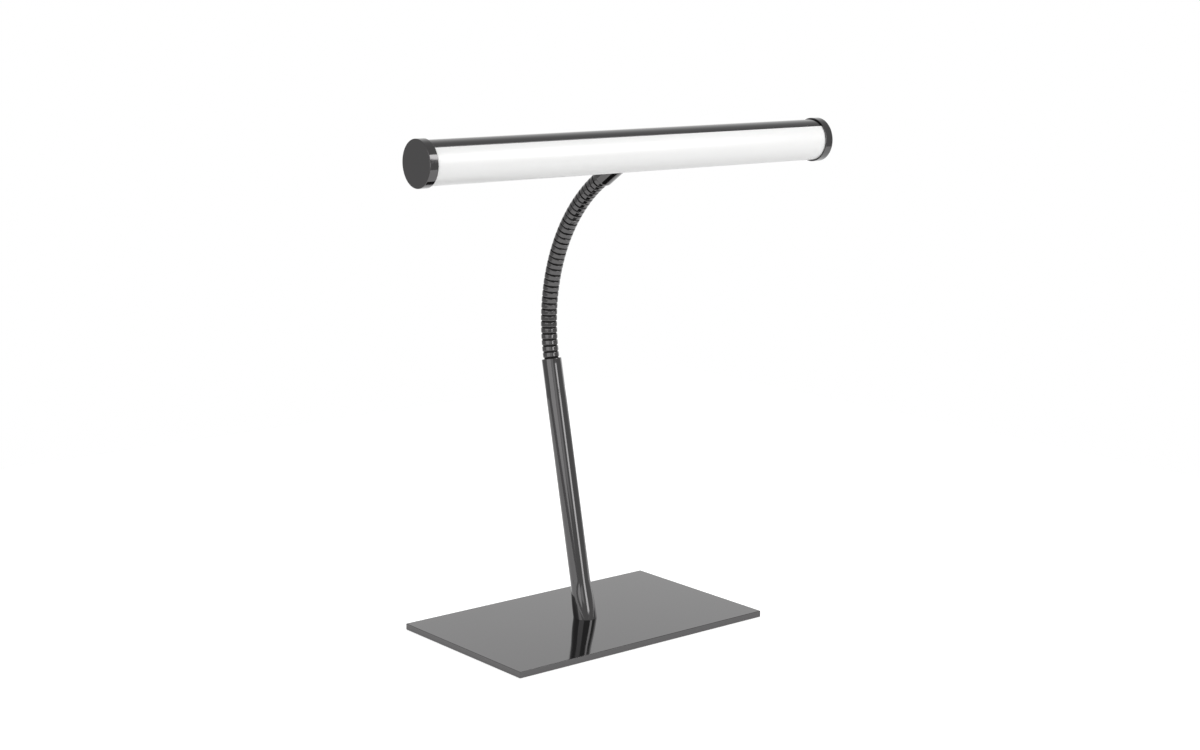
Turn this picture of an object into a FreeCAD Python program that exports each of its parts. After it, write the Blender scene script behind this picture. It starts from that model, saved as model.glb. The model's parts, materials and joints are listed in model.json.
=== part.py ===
import FreeCAD, Part
import math
import os

import Sketcher

# A piano lamp: a flat steel foot, a leaning round stem, a gooseneck and a long tube-shaped
# LED head. Millimetres, +Z up. The origin is the centre of the foot's felt, on the surface
# that the lamp stands on. +X runs along the head, -Y is the side that the lamp shines to.

SIZES = {
    # The foot: a rectangular plate on a thin felt, with one countersunk screw in its middle.
    "base_length": 240.0,
    "base_width": 150.0,
    "base_thickness": 5.0,
    "base_edge_round": 0.35,
    "felt_thickness": 0.5,
    "felt_inset": 3.0,
    "screw_diameter": 6.0,
    "screw_head_diameter": 12.0,
    "screw_head_sink": 0.3,
    "screw_grip": 8.0,
    "screw_socket_width": 4.0,
    "screw_socket_depth": 2.0,
    # The stem: a round tube that leans back and flares where it meets the foot.
    "stem_diameter": 16.0,
    "stem_wall": 1.2,
    "stem_length": 207.0,
    "stem_lean": 11.8,
    "stem_end_diameter": 15.4,
    "stem_end_length": 20.0,
    "stem_end_taper": 4.0,
    "stem_mouth_round": 0.6,
    "foot_flare_diameter": 18.6,
    "foot_flare_height": 30.0,
    "plug_length": 16.0,
    # The inlet for the supply lead, a rubber grommet low on the back of the stem.
    "inlet_height": 34.0,
    "inlet_bore": 3.8,
    "inlet_collar_diameter": 5.6,
    "inlet_flange_diameter": 6.8,
    "inlet_flange_thickness": 1.0,
    # The gooseneck: equal ribbed links, each with a ball at its foot and a cup at its head.
    "rib_pitch": 4.9,
    "rib_diameter": 12.8,
    "rib_flank": 0.7,
    "groove_diameter": 11.4,
    "groove_width": 1.2,
    "neck_bore": 5.2,
    "neck_bend": 69.3,
    "ball_diameter": 9.2,
    "ball_reach": 2.8,
    "neck_tail_length": 24.0,
    "ferrule_diameter": 15.4,
    "ferrule_length": 30.0,
    "ferrule_round": 0.6,
    "nipple_diameter": 8.0,
    "nipple_root": 6.0,
    "nipple_stand": 1.2,
    "nut_width": 10.5,
    "nut_thickness": 2.5,
    "saddle_diameter": 13.0,
    "saddle_thickness": 2.0,
    # The two-core lead that runs inside the stem, the neck and the head.
    "lead_diameter": 3.2,
    "lead_bend_radius": 6.5,
    "lead_sweep_radius": 120.0,
    "lead_turn": 4.6,
    "lead_settle": 50.0,
    "lead_overlap": 20.0,
    "wire_diameter": 1.2,
    "wire_spacing": 2.4,
    "wire_bend_radius": 2.6,
    "wire_drop": 5.0,
    "wire_hole_diameter": 5.0,
    "connector_length": 16.0,
    "connector_width": 9.0,
    "connector_thickness": 6.0,
    "connector_height": 44.0,
    # The head: a metal housing round the back, an opal cover in front and a cap at each end.
    "head_length": 383.0,
    "tube_diameter": 32.0,
    "housing_wall": 1.6,
    "housing_span": 210.0,
    "light_tilt": 118.5,
    "ledge_width": 2.6,
    "ledge_thickness": 1.5,
    "ledge_gap": 20.0,
    "cover_step": 0.15,
    "cover_seam": 0.4,
    "tongue_thickness": 0.9,
    "cap_diameter": 34.3,
    "cap_length": 7.0,
    "cap_face": 2.0,
    "cap_edge_round": 0.3,
    # What the head holds: a carrier strip, a strip of LEDs, and a small driver board.
    "carrier_thickness": 1.5,
    "tape_thickness": 0.2,
    "board_length": 356.0,
    "board_width": 10.0,
    "board_thickness": 1.2,
    "led_length": 3.5,
    "led_width": 2.8,
    "led_thickness": 0.8,
    "led_pitch": 9.6,
    "led_count": 36.0,
    "driver_end_gap": 16.5,
    "driver_length": 52.0,
    "terminal_place": 1.0,
    "coil_place": 19.0,
    "capacitor_place": 30.0,
    "chip_place": 38.0,
    "driver_width": 16.0,
    "driver_thickness": 1.2,
    "driver_spacing": 4.0,
    "spacer_diameter": 3.0,
    "spacer_inset": 2.5,
    "terminal_length": 8.0,
    "terminal_width": 7.0,
    "terminal_thickness": 6.0,
    "coil_diameter": 8.0,
    "coil_thickness": 4.5,
    "capacitor_diameter": 6.3,
    "capacitor_thickness": 6.5,
    "chip_length": 6.0,
    "chip_width": 5.0,
    "chip_thickness": 1.6,
    "clip_width": 6.0,
    "clip_wall": 1.0,
    "clip_place": 70.0,
    "lead_depth": 8.2,
    # The push switch behind the right-hand cap.
    "switch_depth": 6.2,
    "switch_width": 11.0,
    "switch_length": 9.0,
    "button_diameter": 7.0,
    "button_flange_diameter": 9.0,
    "button_flange_thickness": 1.0,
    "button_stand": 2.0,
    "button_reach": 3.6,
    "button_round": 0.6,
    "button_travel": 1.5,
    # Clearances between pieces.
    "slip_gap": 0.05,
    "ball_gap": 0.1,
    "snug_gap": 0.15,
    "loose_gap": 0.3,
}

# The gooseneck's pattern: how many links, and how many ribs stand on each.
LINK_COUNT = 17
RIBS_PER_LINK = 2

doc = FreeCAD.newDocument("piano_lamp")
sheet = doc.addObject("Spreadsheet::Sheet", "Sizes")
for row, (alias, number) in enumerate(SIZES.items(), start=1):
    sheet.set("A%d" % row, alias)
    sheet.set("B%d" % row, str(number))
    sheet.setAlias("B%d" % row, alias)
doc.recompute()


class Size:
    """A value read from the sheet, or worked out from it, with the formula that says how."""

    def __init__(self, value, formula):
        self.value = float(value)
        self.formula = formula

    def __add__(self, other):
        other = as_size(other)
        return Size(self.value + other.value, "(%s + %s)" % (self.formula, other.formula))

    def __sub__(self, other):
        other = as_size(other)
        return Size(self.value - other.value, "(%s - %s)" % (self.formula, other.formula))

    def __mul__(self, other):
        other = as_size(other)
        return Size(self.value * other.value, "(%s * %s)" % (self.formula, other.formula))

    def __truediv__(self, other):
        other = as_size(other)
        return Size(self.value / other.value, "(%s / %s)" % (self.formula, other.formula))

    def __neg__(self):
        return Size(-self.value, "(0 - %s)" % self.formula)

    def __radd__(self, other):
        return as_size(other) + self

    def __rsub__(self, other):
        return as_size(other) - self

    def __float__(self):
        return self.value


def as_size(value):
    """The value as a Size: a plain number is its own formula."""
    if isinstance(value, Size):
        return value
    return Size(value, repr(float(value)))


def size(alias):
    """The driving dimension that the sheet keeps under this alias."""
    return Size(sheet.get(alias), "Sizes." + alias)


def root(value):
    """The square root of a Size."""
    return Size(math.sqrt(value.value), "sqrt(%s)" % value.formula)


def bind(thing, **sizes):
    """Tie the thing's properties to the sheet's formulas."""
    for name, value in sizes.items():
        thing.setExpression(name, as_size(value).formula)


def turn_x(degrees):
    """A turn about +X, which tips +Z towards -Y."""
    return FreeCAD.Rotation(FreeCAD.Vector(1, 0, 0), float(degrees))


def at(x=0, y=0, z=0, rotation=None):
    """A placement at a point, with a rotation if one is given."""
    point = FreeCAD.Vector(float(x), float(y), float(z))
    return FreeCAD.Placement(point, rotation or FreeCAD.Rotation())


ALONG_X = FreeCAD.Rotation(FreeCAD.Vector(0, 1, 0), 90)
ALONG_MINUS_X = FreeCAD.Rotation(FreeCAD.Vector(0, 1, 0), -90)


def box(name, length, width, height, place=None):
    """A block whose corner is at its placement."""
    thing = doc.addObject("Part::Box", name)
    bind(thing, Length=length, Width=width, Height=height)
    thing.Placement = place or at()
    return thing


def rod(name, radius, height, place=None, angle=360):
    """A cylinder, or a slice of one, that stands on its placement."""
    thing = doc.addObject("Part::Cylinder", name)
    bind(thing, Radius=radius, Height=height, Angle=angle)
    thing.Placement = place or at()
    return thing


def hexagon(name, width, height, place=None):
    """A six-sided prism, measured across its flats, with two corners along its own X."""
    thing = doc.addObject("Part::Prism", name)
    thing.Polygon = 6
    bind(thing, Circumradius=as_size(width) / math.sqrt(3), Height=height)
    thing.Placement = place or at()
    return thing


def fused(name, *things):
    """The things as one solid."""
    thing = doc.addObject("Part::MultiFuse", name)
    thing.Shapes = list(things)
    thing.Refine = True
    return thing


def less(name, base, *tools):
    """The base with the tools cut away."""
    thing = doc.addObject("Part::Cut", name)
    thing.Base = base
    thing.Tool = tools[0] if len(tools) == 1 else fused(name + "_tools", *tools)
    return thing


def shared(name, first, second):
    """What the two things have in common."""
    thing = doc.addObject("Part::Common", name)
    thing.Base = first
    thing.Tool = second
    return thing


def origin_plane(body, role):
    """One of the body's own origin planes."""
    for feature in body.Origin.OriginFeatures:
        if feature.Role == role:
            return feature
    raise ValueError(role)


def new_sketch(body, role, name):
    """A sketch that lies on one of the body's origin planes."""
    sketch = body.newObject("Sketcher::SketchObject", name)
    sketch.AttachmentSupport = [(origin_plane(body, role), "")]
    sketch.MapMode = "FlatFace"
    return sketch


def arc_between(start, end, radius, left):
    """The short arc from start to end. Its centre lies to the left of the way, or to the right."""
    across = end.sub(start)
    half = across.Length / 2
    side = FreeCAD.Vector(-across.y, across.x, 0).normalize()
    depth = math.sqrt(max(radius * radius - half * half, 0))
    centre = start.add(end).multiply(0.5).add(side.multiply(depth if left else -depth))
    first, last = (start, end) if left else (end, start)
    angles = [math.atan2(p.y - centre.y, p.x - centre.x) for p in (first, last)]
    circle = Part.Circle(centre, FreeCAD.Vector(0, 0, 1), radius)
    return Part.ArcOfCircle(circle, angles[0], angles[1])


def draw_outline(sketch, corners):
    """A closed outline through the corners, each held at its place by two dimensions.

    A corner is (across, along), or (across, along, radius, left) where an arc leads to it.
    """
    points = [FreeCAD.Vector(float(c[0]), float(c[1]), 0) for c in corners]
    count = len(corners)
    starts = []
    ends = []
    for i in range(count):
        following = corners[(i + 1) % count]
        here, there = points[i], points[(i + 1) % count]
        if len(following) == 2:
            sketch.addGeometry(Part.LineSegment(here, there))
            starts.append((i, 1))
            ends.append((i, 2))
        else:
            radius, left = following[2], following[3]
            sketch.addGeometry(arc_between(here, there, float(radius), left))
            starts.append((i, 1 if left else 2))
            ends.append((i, 2 if left else 1))
    for i in range(count):
        joined = ends[i] + starts[(i + 1) % count]
        sketch.addConstraint(Sketcher.Constraint("Coincident", *joined))
    for i, corner in enumerate(corners):
        hold(sketch, "DistanceX", starts[i], corner[0])
        hold(sketch, "DistanceY", starts[i], corner[1])
        if len(corner) == 4:
            arc = (i - 1) % count
            number = sketch.addConstraint(Sketcher.Constraint("Radius", arc, float(corner[2])))
            sketch.setExpression("Constraints[%d]" % number, as_size(corner[2]).formula)


def hold(sketch, kind, point, value):
    """Hold one point of a sketch at a distance from the origin."""
    value = as_size(value)
    if abs(value.value) < 1e-9:
        axis = -2 if kind == "DistanceX" else -1
        sketch.addConstraint(Sketcher.Constraint("PointOnObject", point[0], point[1], axis))
        return
    constraint = Sketcher.Constraint(kind, -1, 1, point[0], point[1], value.value)
    number = sketch.addConstraint(constraint)
    sketch.setExpression("Constraints[%d]" % number, value.formula)


def turned(name, corners, place=None):
    """A body turned about its own Z from an outline of (radius, height) corners."""
    body = doc.addObject("PartDesign::Body", name)
    sketch = new_sketch(body, "XZ_Plane", name + "_outline")
    draw_outline(sketch, corners)
    revolution = body.newObject("PartDesign::Revolution", name + "_turned")
    revolution.Profile = sketch
    revolution.ReferenceAxis = (sketch, ["V_Axis"])
    revolution.Angle = 360
    body.Placement = place or at()
    return body


def plate(name, length, width, thickness, place=None):
    """A body padded up from a rectangle round its own origin."""
    body = doc.addObject("PartDesign::Body", name)
    sketch = new_sketch(body, "XY_Plane", name + "_outline")
    half_length, half_width = as_size(length) / 2, as_size(width) / 2
    corners = [
        (-half_length, -half_width),
        (half_length, -half_width),
        (half_length, half_width),
        (-half_length, half_width),
    ]
    draw_outline(sketch, corners)
    pad = body.newObject("PartDesign::Pad", name + "_pad")
    pad.Profile = sketch
    bind(pad, Length=thickness)
    body.Placement = place or at()
    return body


def tube_shape(points, radius, bends):
    """A round solid along straight runs, each corner rounded by a tangent arc of its own."""
    vectors = [FreeCAD.Vector(*[float(c) for c in p]) for p in points]
    print("bend radii: " + ", ".join("%.1f" % float(bend) for bend in bends))
    edges = []
    here = vectors[0]
    for i, bend in enumerate(bends, start=1):
        before = vectors[i].sub(vectors[i - 1]).normalize()
        after = vectors[i + 1].sub(vectors[i]).normalize()
        turn = before.getAngle(after)
        reach = float(bend) * math.tan(turn / 2)
        begin = vectors[i].sub(FreeCAD.Vector(before).multiply(reach))
        finish = vectors[i].add(FreeCAD.Vector(after).multiply(reach))
        inwards = FreeCAD.Vector(after).sub(before).normalize()
        drop = float(bend) * (1 / math.cos(turn / 2) - 1)
        middle = vectors[i].add(inwards.multiply(drop))
        edges.append(Part.LineSegment(here, begin).toShape())
        edges.append(Part.Arc(begin, middle, finish).toShape())
        here = finish
    edges.append(Part.LineSegment(here, vectors[-1]).toShape())
    return swept_shape(edges, radius)


def swept_shape(edges, radius):
    """A round solid along a row of edges that follow on smoothly."""
    path = Part.Wire(edges)
    start = path.OrderedVertexes[0].Point
    way = path.OrderedEdges[0].tangentAt(path.OrderedEdges[0].FirstParameter)
    section = Part.Wire([Part.Circle(start, way, float(radius)).toShape()])
    solid = path.makePipeShell([section], True, False)
    expected = math.pi * float(radius) ** 2 * path.Length
    print("tube: length %.1f, volume %.4f of section times length" % (path.Length, solid.Volume / expected))
    return solid


def shaped(name, shape, place=None):
    """A shape worked out by its own function, as an object of the document."""
    thing = doc.addObject("Part::Feature", name)
    thing.Shape = shape
    thing.Placement = place or at()
    return thing


def group(name, shapes, place=None):
    """Like solids that share one node."""
    return shaped(name, Part.makeCompound(shapes), place)


PARTS = []


def part(name, thing, place=None):
    """Name a finished sub-part, and move it if it was built in a frame of its own."""
    thing.Label = name
    if place is not None:
        thing.Placement = place.multiply(thing.Placement)
    PARTS.append(thing)


# Heights above the surface that the lamp stands on.
plate_underside = size("felt_thickness")
plate_top = plate_underside + size("base_thickness")

# The stem's frame: its axis starts on top of the plate and leans back, towards +Y.
stem_place = at(z=plate_top, rotation=turn_x(-size("stem_lean")))
stem_radius = size("stem_diameter") / 2
stem_bore_radius = stem_radius - size("stem_wall")

# The gooseneck's joints lie on an arc that is tangent to the stem at its foot and to the
# ferrule at its head. Each link is a chord of that arc.
half_groove = size("groove_width") / 2
link_length = size("rib_pitch") * RIBS_PER_LINK
link_turn = float(size("neck_bend")) / LINK_COUNT
neck_radius = float(link_length) / (2 * math.sin(math.radians(link_turn / 2)))


def tilt_at(joint):
    """The neck's tilt towards -Y where this joint is, in degrees."""
    return joint * link_turn - float(size("stem_lean"))


def along(tilt, distance):
    """A step of this distance in the direction that leans by this tilt."""
    return turn_x(tilt).multVec(FreeCAD.Vector(0, 0, float(distance)))


joint_points = [stem_place.multVec(FreeCAD.Vector(0, 0, float(size("stem_length") + half_groove)))]
for link in range(LINK_COUNT):
    joint_points.append(joint_points[-1].add(along(tilt_at(link + 0.5), link_length)))

# The ferrule runs straight on from the neck, and its axis crosses the head's axis.
tube_radius = size("tube_diameter") / 2
ferrule_tilt = tilt_at(LINK_COUNT)
ferrule_place = FreeCAD.Placement(joint_points[-1], turn_x(ferrule_tilt))
head_distance = size("ferrule_length") + tube_radius
head_centre = joint_points[-1].add(along(ferrule_tilt, head_distance))

# The head's frame: Z along the tube, X the way that it shines, the origin mid-tube.
light_way = along(size("light_tilt"), 1)
tube_way = FreeCAD.Vector(1, 0, 0)
head_rotation = FreeCAD.Rotation(light_way, tube_way.cross(light_way), tube_way, "XYZ")
head_place = FreeCAD.Placement(head_centre, head_rotation)


def build_base():
    """The foot: felt, plate and the screw that holds the stem."""
    inset = size("felt_inset") * 2
    felt_length = size("base_length") - inset
    felt_width = size("base_width") - inset
    part("base_felt", plate("base_felt", felt_length, felt_width, size("felt_thickness")))

    blank = plate("plate_blank", size("base_length"), size("base_width"), size("base_thickness"))
    doc.recompute()
    rounding = blank.newObject("PartDesign::Fillet", "plate_edges")
    pad = blank.getObject("plate_blank_pad")
    edges = ["Edge%d" % (i + 1) for i in range(len(pad.Shape.Edges))]
    rounding.Base = (pad, edges)
    bind(rounding, Radius=size("base_edge_round"))
    shank = size("screw_diameter") / 2
    head = size("screw_head_diameter") / 2
    sink = size("screw_head_sink")
    gap = size("slip_gap")
    cone = head - shank
    mouth = turned(
        "plate_countersink",
        [
            (0, -1),
            (head + gap, -1),
            (head + gap, sink),
            (shank + gap, sink + cone),
            (shank + gap, size("base_thickness") + 1),
            (0, size("base_thickness") + 1),
        ],
    )
    part("base_plate", less("base_plate", blank, mouth), at(z=plate_underside))

    top = size("base_thickness") + size("screw_grip")
    screw = turned(
        "screw_blank",
        [(0, sink), (head, sink), (shank, sink + cone), (shank, top), (0, top)],
    )
    socket = hexagon(
        "screw_socket",
        size("screw_socket_width"),
        size("screw_socket_depth") + sink,
    )
    part("base_screw", less("base_screw", screw, socket), at(z=plate_underside))


def below_plate(name):
    """A block that fills the space under the plate's top, to trim the stem and its plug."""
    span = size("foot_flare_diameter") * 3
    deep = size("plug_length")
    return box(name, span, span, deep, at(-span / 2, -span / 2, plate_top - deep))


def build_stem():
    """The stem's tube, its threaded plug and the grommet in its back."""
    bore = stem_bore_radius
    end = size("stem_end_diameter") / 2
    flare = size("foot_flare_diameter") / 2
    flare_height = size("foot_flare_height")
    # The flare rises as a cone for half its height, and the other half curves on into the tube.
    half_way = flare_height / 2
    sweep = (flare - stem_radius) / 3
    curve = (half_way * half_way + sweep * sweep) / (sweep * 2)
    skirt = size("stem_diameter") / 4
    length = size("stem_length")
    mouth = size("stem_mouth_round")
    shoulder = length - size("stem_end_length")
    tube = turned(
        "stem_blank",
        [
            (bore, -skirt),
            (flare, -skirt),
            (flare, 0),
            (stem_radius + sweep, half_way),
            (stem_radius, flare_height, curve, False),
            (stem_radius, shoulder - size("stem_end_taper")),
            (end, shoulder),
            (end, length - mouth),
            (end - mouth, length, mouth, True),
            (bore, length),
        ],
        stem_place,
    )
    inlet_place = stem_place.multiply(at(z=size("inlet_height"), rotation=turn_x(-90)))
    inlet = rod(
        "stem_inlet_hole",
        size("inlet_collar_diameter") / 2 + size("slip_gap"),
        stem_radius * 2,
        inlet_place,
    )
    part("stem_tube", less("stem_tube", tube, below_plate("stem_trim"), inlet))

    radius = bore - size("slip_gap")
    blank = turned(
        "plug_blank",
        [(0, -skirt), (radius, -skirt), (radius, size("plug_length")), (0, size("plug_length"))],
        stem_place,
    )
    hole = rod(
        "plug_thread",
        size("screw_diameter") / 2 + size("slip_gap"),
        size("screw_grip") + size("loose_gap"),
        at(z=plate_top),
    )
    part("stem_plug", less("stem_plug", blank, below_plate("plug_trim"), hole))

    collar = size("inlet_collar_diameter") / 2
    flange = size("inlet_flange_diameter") / 2
    thick = size("inlet_flange_thickness")
    eye = size("inlet_bore") / 2
    inner = root(bore * bore - flange * flange) - size("slip_gap")
    outer = stem_radius + size("slip_gap") / 2
    grommet = turned(
        "cord_grommet",
        [
            (eye, inner - thick),
            (flange, inner - thick),
            (flange, inner),
            (collar, inner),
            (collar, outer),
            (flange, outer),
            (flange - thick / 2, outer + thick),
            (eye, outer + thick),
        ],
        inlet_place,
    )
    part("cord_grommet", grommet)


def cup(bore, top):
    """The corners of a ball cup that opens upwards round a ball's centre at height top."""
    radius = size("ball_diameter") / 2 + size("ball_gap")
    floor = root(radius * radius - bore * bore)
    lip = root(radius * radius - half_groove * half_groove)
    return [(bore, top - floor), (lip, top - half_groove, radius, True)]


def ball(bore):
    """The corners of a ball round the origin, from its neck down to its cut foot."""
    radius = size("ball_diameter") / 2
    reach = size("ball_reach")
    neck = root(radius * radius - half_groove * half_groove)
    foot = root(radius * radius - reach * reach)
    return [(neck, half_groove), (foot, -reach, radius, False), (bore, -reach)]


def link_outline():
    """One link of the gooseneck: cup, ribs from the top down, ball."""
    bore = size("neck_bore") / 2
    groove = size("groove_diameter") / 2
    crest = size("rib_diameter") / 2
    flank = size("rib_flank")
    corners = cup(bore, link_length)
    for rib in reversed(range(RIBS_PER_LINK)):
        low = size("rib_pitch") * rib + half_groove
        high = size("rib_pitch") * (rib + 1) - half_groove
        corners += [(groove, high), (crest, high - flank), (crest, low + flank), (groove, low)]
    return corners + ball(bore)


def build_neck():
    """The gooseneck's tail in the stem, its links, and the ferrule on the head."""
    bore = size("neck_bore") / 2
    tail = size("neck_tail_length")
    outside = stem_bore_radius - size("slip_gap")
    tail_place = FreeCAD.Placement(joint_points[0], turn_x(tilt_at(0)))
    corners = cup(bore, 0) + [(outside, -half_groove), (outside, -tail), (bore, -tail)]
    part("neck_tail", turned("neck_tail", corners, tail_place))

    for link in range(LINK_COUNT):
        name = "neck_link_%02d" % (link + 1)
        place = FreeCAD.Placement(joint_points[link], turn_x(tilt_at(link + 0.5)))
        part(name, turned(name, link_outline(), place))


def build_ferrule():
    """The sleeve between neck and head, with its nipple, saddle washer and nut."""
    bore = size("neck_bore") / 2
    outside = size("ferrule_diameter") / 2
    nipple = size("nipple_diameter") / 2
    length = size("ferrule_length")
    rounding = size("ferrule_round")
    inner_wall = length + size("housing_wall")
    seat = inner_wall + size("saddle_thickness")
    end = seat + size("nut_thickness") + size("nipple_stand")
    skirt = length + outside
    corners = [
        (bore, skirt),
        (outside, skirt),
        (outside, half_groove + rounding),
        (outside - rounding, half_groove, rounding, False),
    ]
    sleeve = turned("ferrule_blank", corners + ball(bore))
    saddle = head_rod("ferrule_saddle", tube_radius)
    nipple_corners = [
        (bore, length - size("nipple_root")),
        (nipple, length - size("nipple_root")),
        (nipple, end),
        (bore, end),
    ]
    body = less("ferrule_sleeve", sleeve, saddle)
    part("neck_ferrule", fused("neck_ferrule", body, turned("nipple", nipple_corners)), ferrule_place)

    hole = nipple + size("slip_gap")
    rim = size("saddle_diameter") / 2
    ring = turned("saddle_blank", [(hole, length), (rim, length), (rim, seat), (hole, seat)])
    wall = head_rod("saddle_wall", tube_radius - size("housing_wall") - size("slip_gap"))
    part("saddle_washer", shared("saddle_washer", ring, wall), ferrule_place)

    nut = hexagon("nut_blank", size("nut_width"), size("nut_thickness"), at(z=seat))
    thread = rod("nut_thread", hole, size("nut_thickness") + 2, at(z=seat - 1))
    part("ferrule_nut", less("ferrule_nut", nut, thread), ferrule_place)


def head_rod(name, radius):
    """A round bar on the head's axis, in the ferrule's frame."""
    span = size("ferrule_diameter") * 4
    return rod(name, radius, span, at(-span / 2, 0, head_distance, ALONG_X))


head_half = size("head_length") / 2
tube_half = head_half - size("cap_face")
inner_radius = tube_radius - size("housing_wall")

# The driver board lies a set gap short of the switch at the +X end.
switch_back = tube_half - size("switch_length")
driver_start = switch_back - size("driver_end_gap") - size("driver_length")


def slice_along(name, radius, span):
    """A slice of the tube's full length, centred on the way that the head shines."""
    turn = FreeCAD.Rotation(FreeCAD.Vector(0, 0, 1), -float(span) / 2)
    return rod(name, radius, tube_half * 2, at(z=-tube_half, rotation=turn), span)


def bar(name, low, high, half_width, start, end):
    """A block in the head's frame, from its low to its high depth, across the tube's middle."""
    return box(name, high - low, half_width * 2, end - start, at(low, -half_width, start))


def arc_cosine(value):
    """The angle, in degrees, whose cosine is a Size."""
    degrees = math.degrees(math.acos(value.value))
    return Size(degrees, "(acos(%s) / 1 deg)" % value.formula)


def build_housing():
    """The housing, an open tube with a ledge inside each edge, drilled for the ferrule."""
    closed = rod("housing_round", tube_radius, tube_half * 2, at(z=-tube_half))
    mouth = slice_along("housing_mouth", tube_radius * 2, 360 - size("housing_span"))
    hollow = rod("housing_hollow", inner_radius, tube_half * 2 + 2, at(z=-tube_half - 1))
    shell = less("housing_shell", closed, mouth, hollow)

    bulk = rod("ledge_round", inner_radius + size("housing_wall") / 2, tube_half * 2, at(z=-tube_half))
    thick = size("ledge_thickness")
    wide = size("ledge_width") + size("housing_wall")
    near = inner_radius - size("ledge_width")
    upper = box("ledge_upper", thick, wide, tube_half * 2, at(-thick, -near - wide, -tube_half))
    lower = box("ledge_lower", thick, wide, tube_half * 2, at(-thick, near, -tube_half))
    ledges = shared("ledges", fused("ledge_pair", upper, lower), bulk)
    gap = size("ledge_gap")
    relief = box("ledge_relief", thick * 2, size("ledge_width"), gap, at(-thick * 1.5, near, -gap / 2))
    reliefs = shared("ledge_relief_round", relief, hollow)
    whole = fused("housing_whole", shell, less("ledges_relieved", ledges, reliefs))

    wall = size("housing_wall")
    hole_place = ferrule_place.multiply(at(z=size("ferrule_length") - wall))
    hole = rod(
        "housing_hole",
        size("nipple_diameter") / 2 + size("slip_gap"),
        wall * 4,
        head_place.inverse().multiply(hole_place),
    )
    part("head_housing", less("head_housing", whole, hole), head_place)


def build_cover():
    """The opal cover, stepped at its edges so that its tongues lie inside the housing."""
    mouth = 360 - size("housing_span") - size("cover_seam") * 2
    outside = slice_along("cover_outside", tube_radius - size("cover_step"), mouth)
    tongue_radius = inner_radius - size("snug_gap")
    inside = tongue_radius - size("tongue_thickness")
    seat = size("carrier_thickness") + size("slip_gap")
    reach = arc_cosine(seat / inside) * 2
    tongues = slice_along("cover_tongues", tongue_radius, reach)
    hollow = rod("cover_hollow", inside, tube_half * 2 + 2, at(z=-tube_half - 1))
    part("opal_cover", less("opal_cover", fused("cover_blank", outside, tongues), hollow), head_place)


def cap_outline():
    """Half a cap's section: its outer face at height 0 and its rim reaching back."""
    rim = size("cap_diameter") / 2
    inside = tube_radius + size("slip_gap")
    rounding = size("cap_edge_round")
    face = size("cap_face")
    length = size("cap_length")
    return [
        (0, 0),
        (0, -face),
        (inside, -face),
        (inside, -length),
        (rim, -length),
        (rim, -rounding),
        (rim - rounding, 0, rounding, True),
    ]


def build_caps():
    """The two end caps. The right-hand one has the push button's hole."""
    left_place = head_place.multiply(at(z=-head_half, rotation=turn_x(180)))
    part("cap_left", turned("cap_left", cap_outline(), left_place))
    blank = turned("cap_right_blank", cap_outline())
    hole = rod(
        "cap_button_hole",
        size("button_diameter") / 2 + size("loose_gap"),
        size("cap_face") * 3,
        at(-size("switch_depth"), 0, -size("cap_face") * 2),
    )
    right_place = head_place.multiply(at(z=head_half))
    part("cap_right", less("cap_right", blank, hole), right_place)


def build_lights():
    """The carrier strip, the tape and board on it, and the row of LEDs."""
    wire_hole = size("wire_hole_diameter") / 2
    wire_place = driver_start - size("wire_drop")
    end = tube_half - size("loose_gap")
    back = size("carrier_thickness")
    carrier = bar("carrier_blank", as_size(0), back, inner_radius - size("loose_gap"), -end, end)
    hole_place = at(-back, 0, wire_place, ALONG_X)
    carrier_hole = rod("carrier_hole", wire_hole, back * 3, hole_place)
    part("led_carrier", less("led_carrier", carrier, carrier_hole), head_place)

    half_width = size("board_width") / 2
    half_length = size("board_length") / 2
    face = back + size("tape_thickness")
    tape = bar("tape_blank", back, face, half_width, -half_length, half_length)
    tape_hole = rod("tape_hole", wire_hole, back * 3, hole_place)
    part("board_tape", less("board_tape", tape, tape_hole), head_place)

    front = face + size("board_thickness")
    part("led_board", bar("led_board", face, front, half_width, -half_length, half_length), head_place)

    count = int(size("led_count").value)
    width = float(size("led_width"))
    length = float(size("led_length"))
    leds = []
    for i in range(count):
        middle = (i - (count - 1) / 2) * float(size("led_pitch"))
        corner = FreeCAD.Vector(float(front), -width / 2, middle - length / 2)
        leds.append(Part.makeBox(float(size("led_thickness")), width, length, corner))
    part("leds", group("leds", leds, head_place))


def build_driver():
    """The driver board behind the carrier, its spacers and what is soldered to it."""
    start = driver_start
    end = start + size("driver_length")
    front = -size("driver_spacing")
    back = front - size("driver_thickness")
    half_width = size("driver_width") / 2
    part("driver_board", bar("driver_board", back, front, half_width, start, end), head_place)

    radius = float(size("spacer_diameter") / 2)
    inset = size("spacer_inset")
    spacers = []
    for across in (half_width - inset, inset - half_width):
        for place in (start + inset, end - inset):
            corner = FreeCAD.Vector(float(front), float(across), float(place))
            way = FreeCAD.Vector(1, 0, 0)
            spacers.append(Part.makeCylinder(radius, float(size("driver_spacing")), corner, way))
    part("driver_spacers", group("driver_spacers", spacers, head_place))

    for thing in ("terminal", "chip"):
        low = start + size(thing + "_place")
        high = low + size(thing + "_length")
        name = "driver_" + thing
        block = bar(name, back - size(thing + "_thickness"), back, size(thing + "_width") / 2, low, high)
        part(name, block, head_place)
    for thing in ("coil", "capacitor"):
        foot = at(back, 0, start + size(thing + "_place"), ALONG_MINUS_X)
        name = "driver_" + thing
        part(name, rod(name, size(thing + "_diameter") / 2, size(thing + "_thickness"), foot), head_place)


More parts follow.
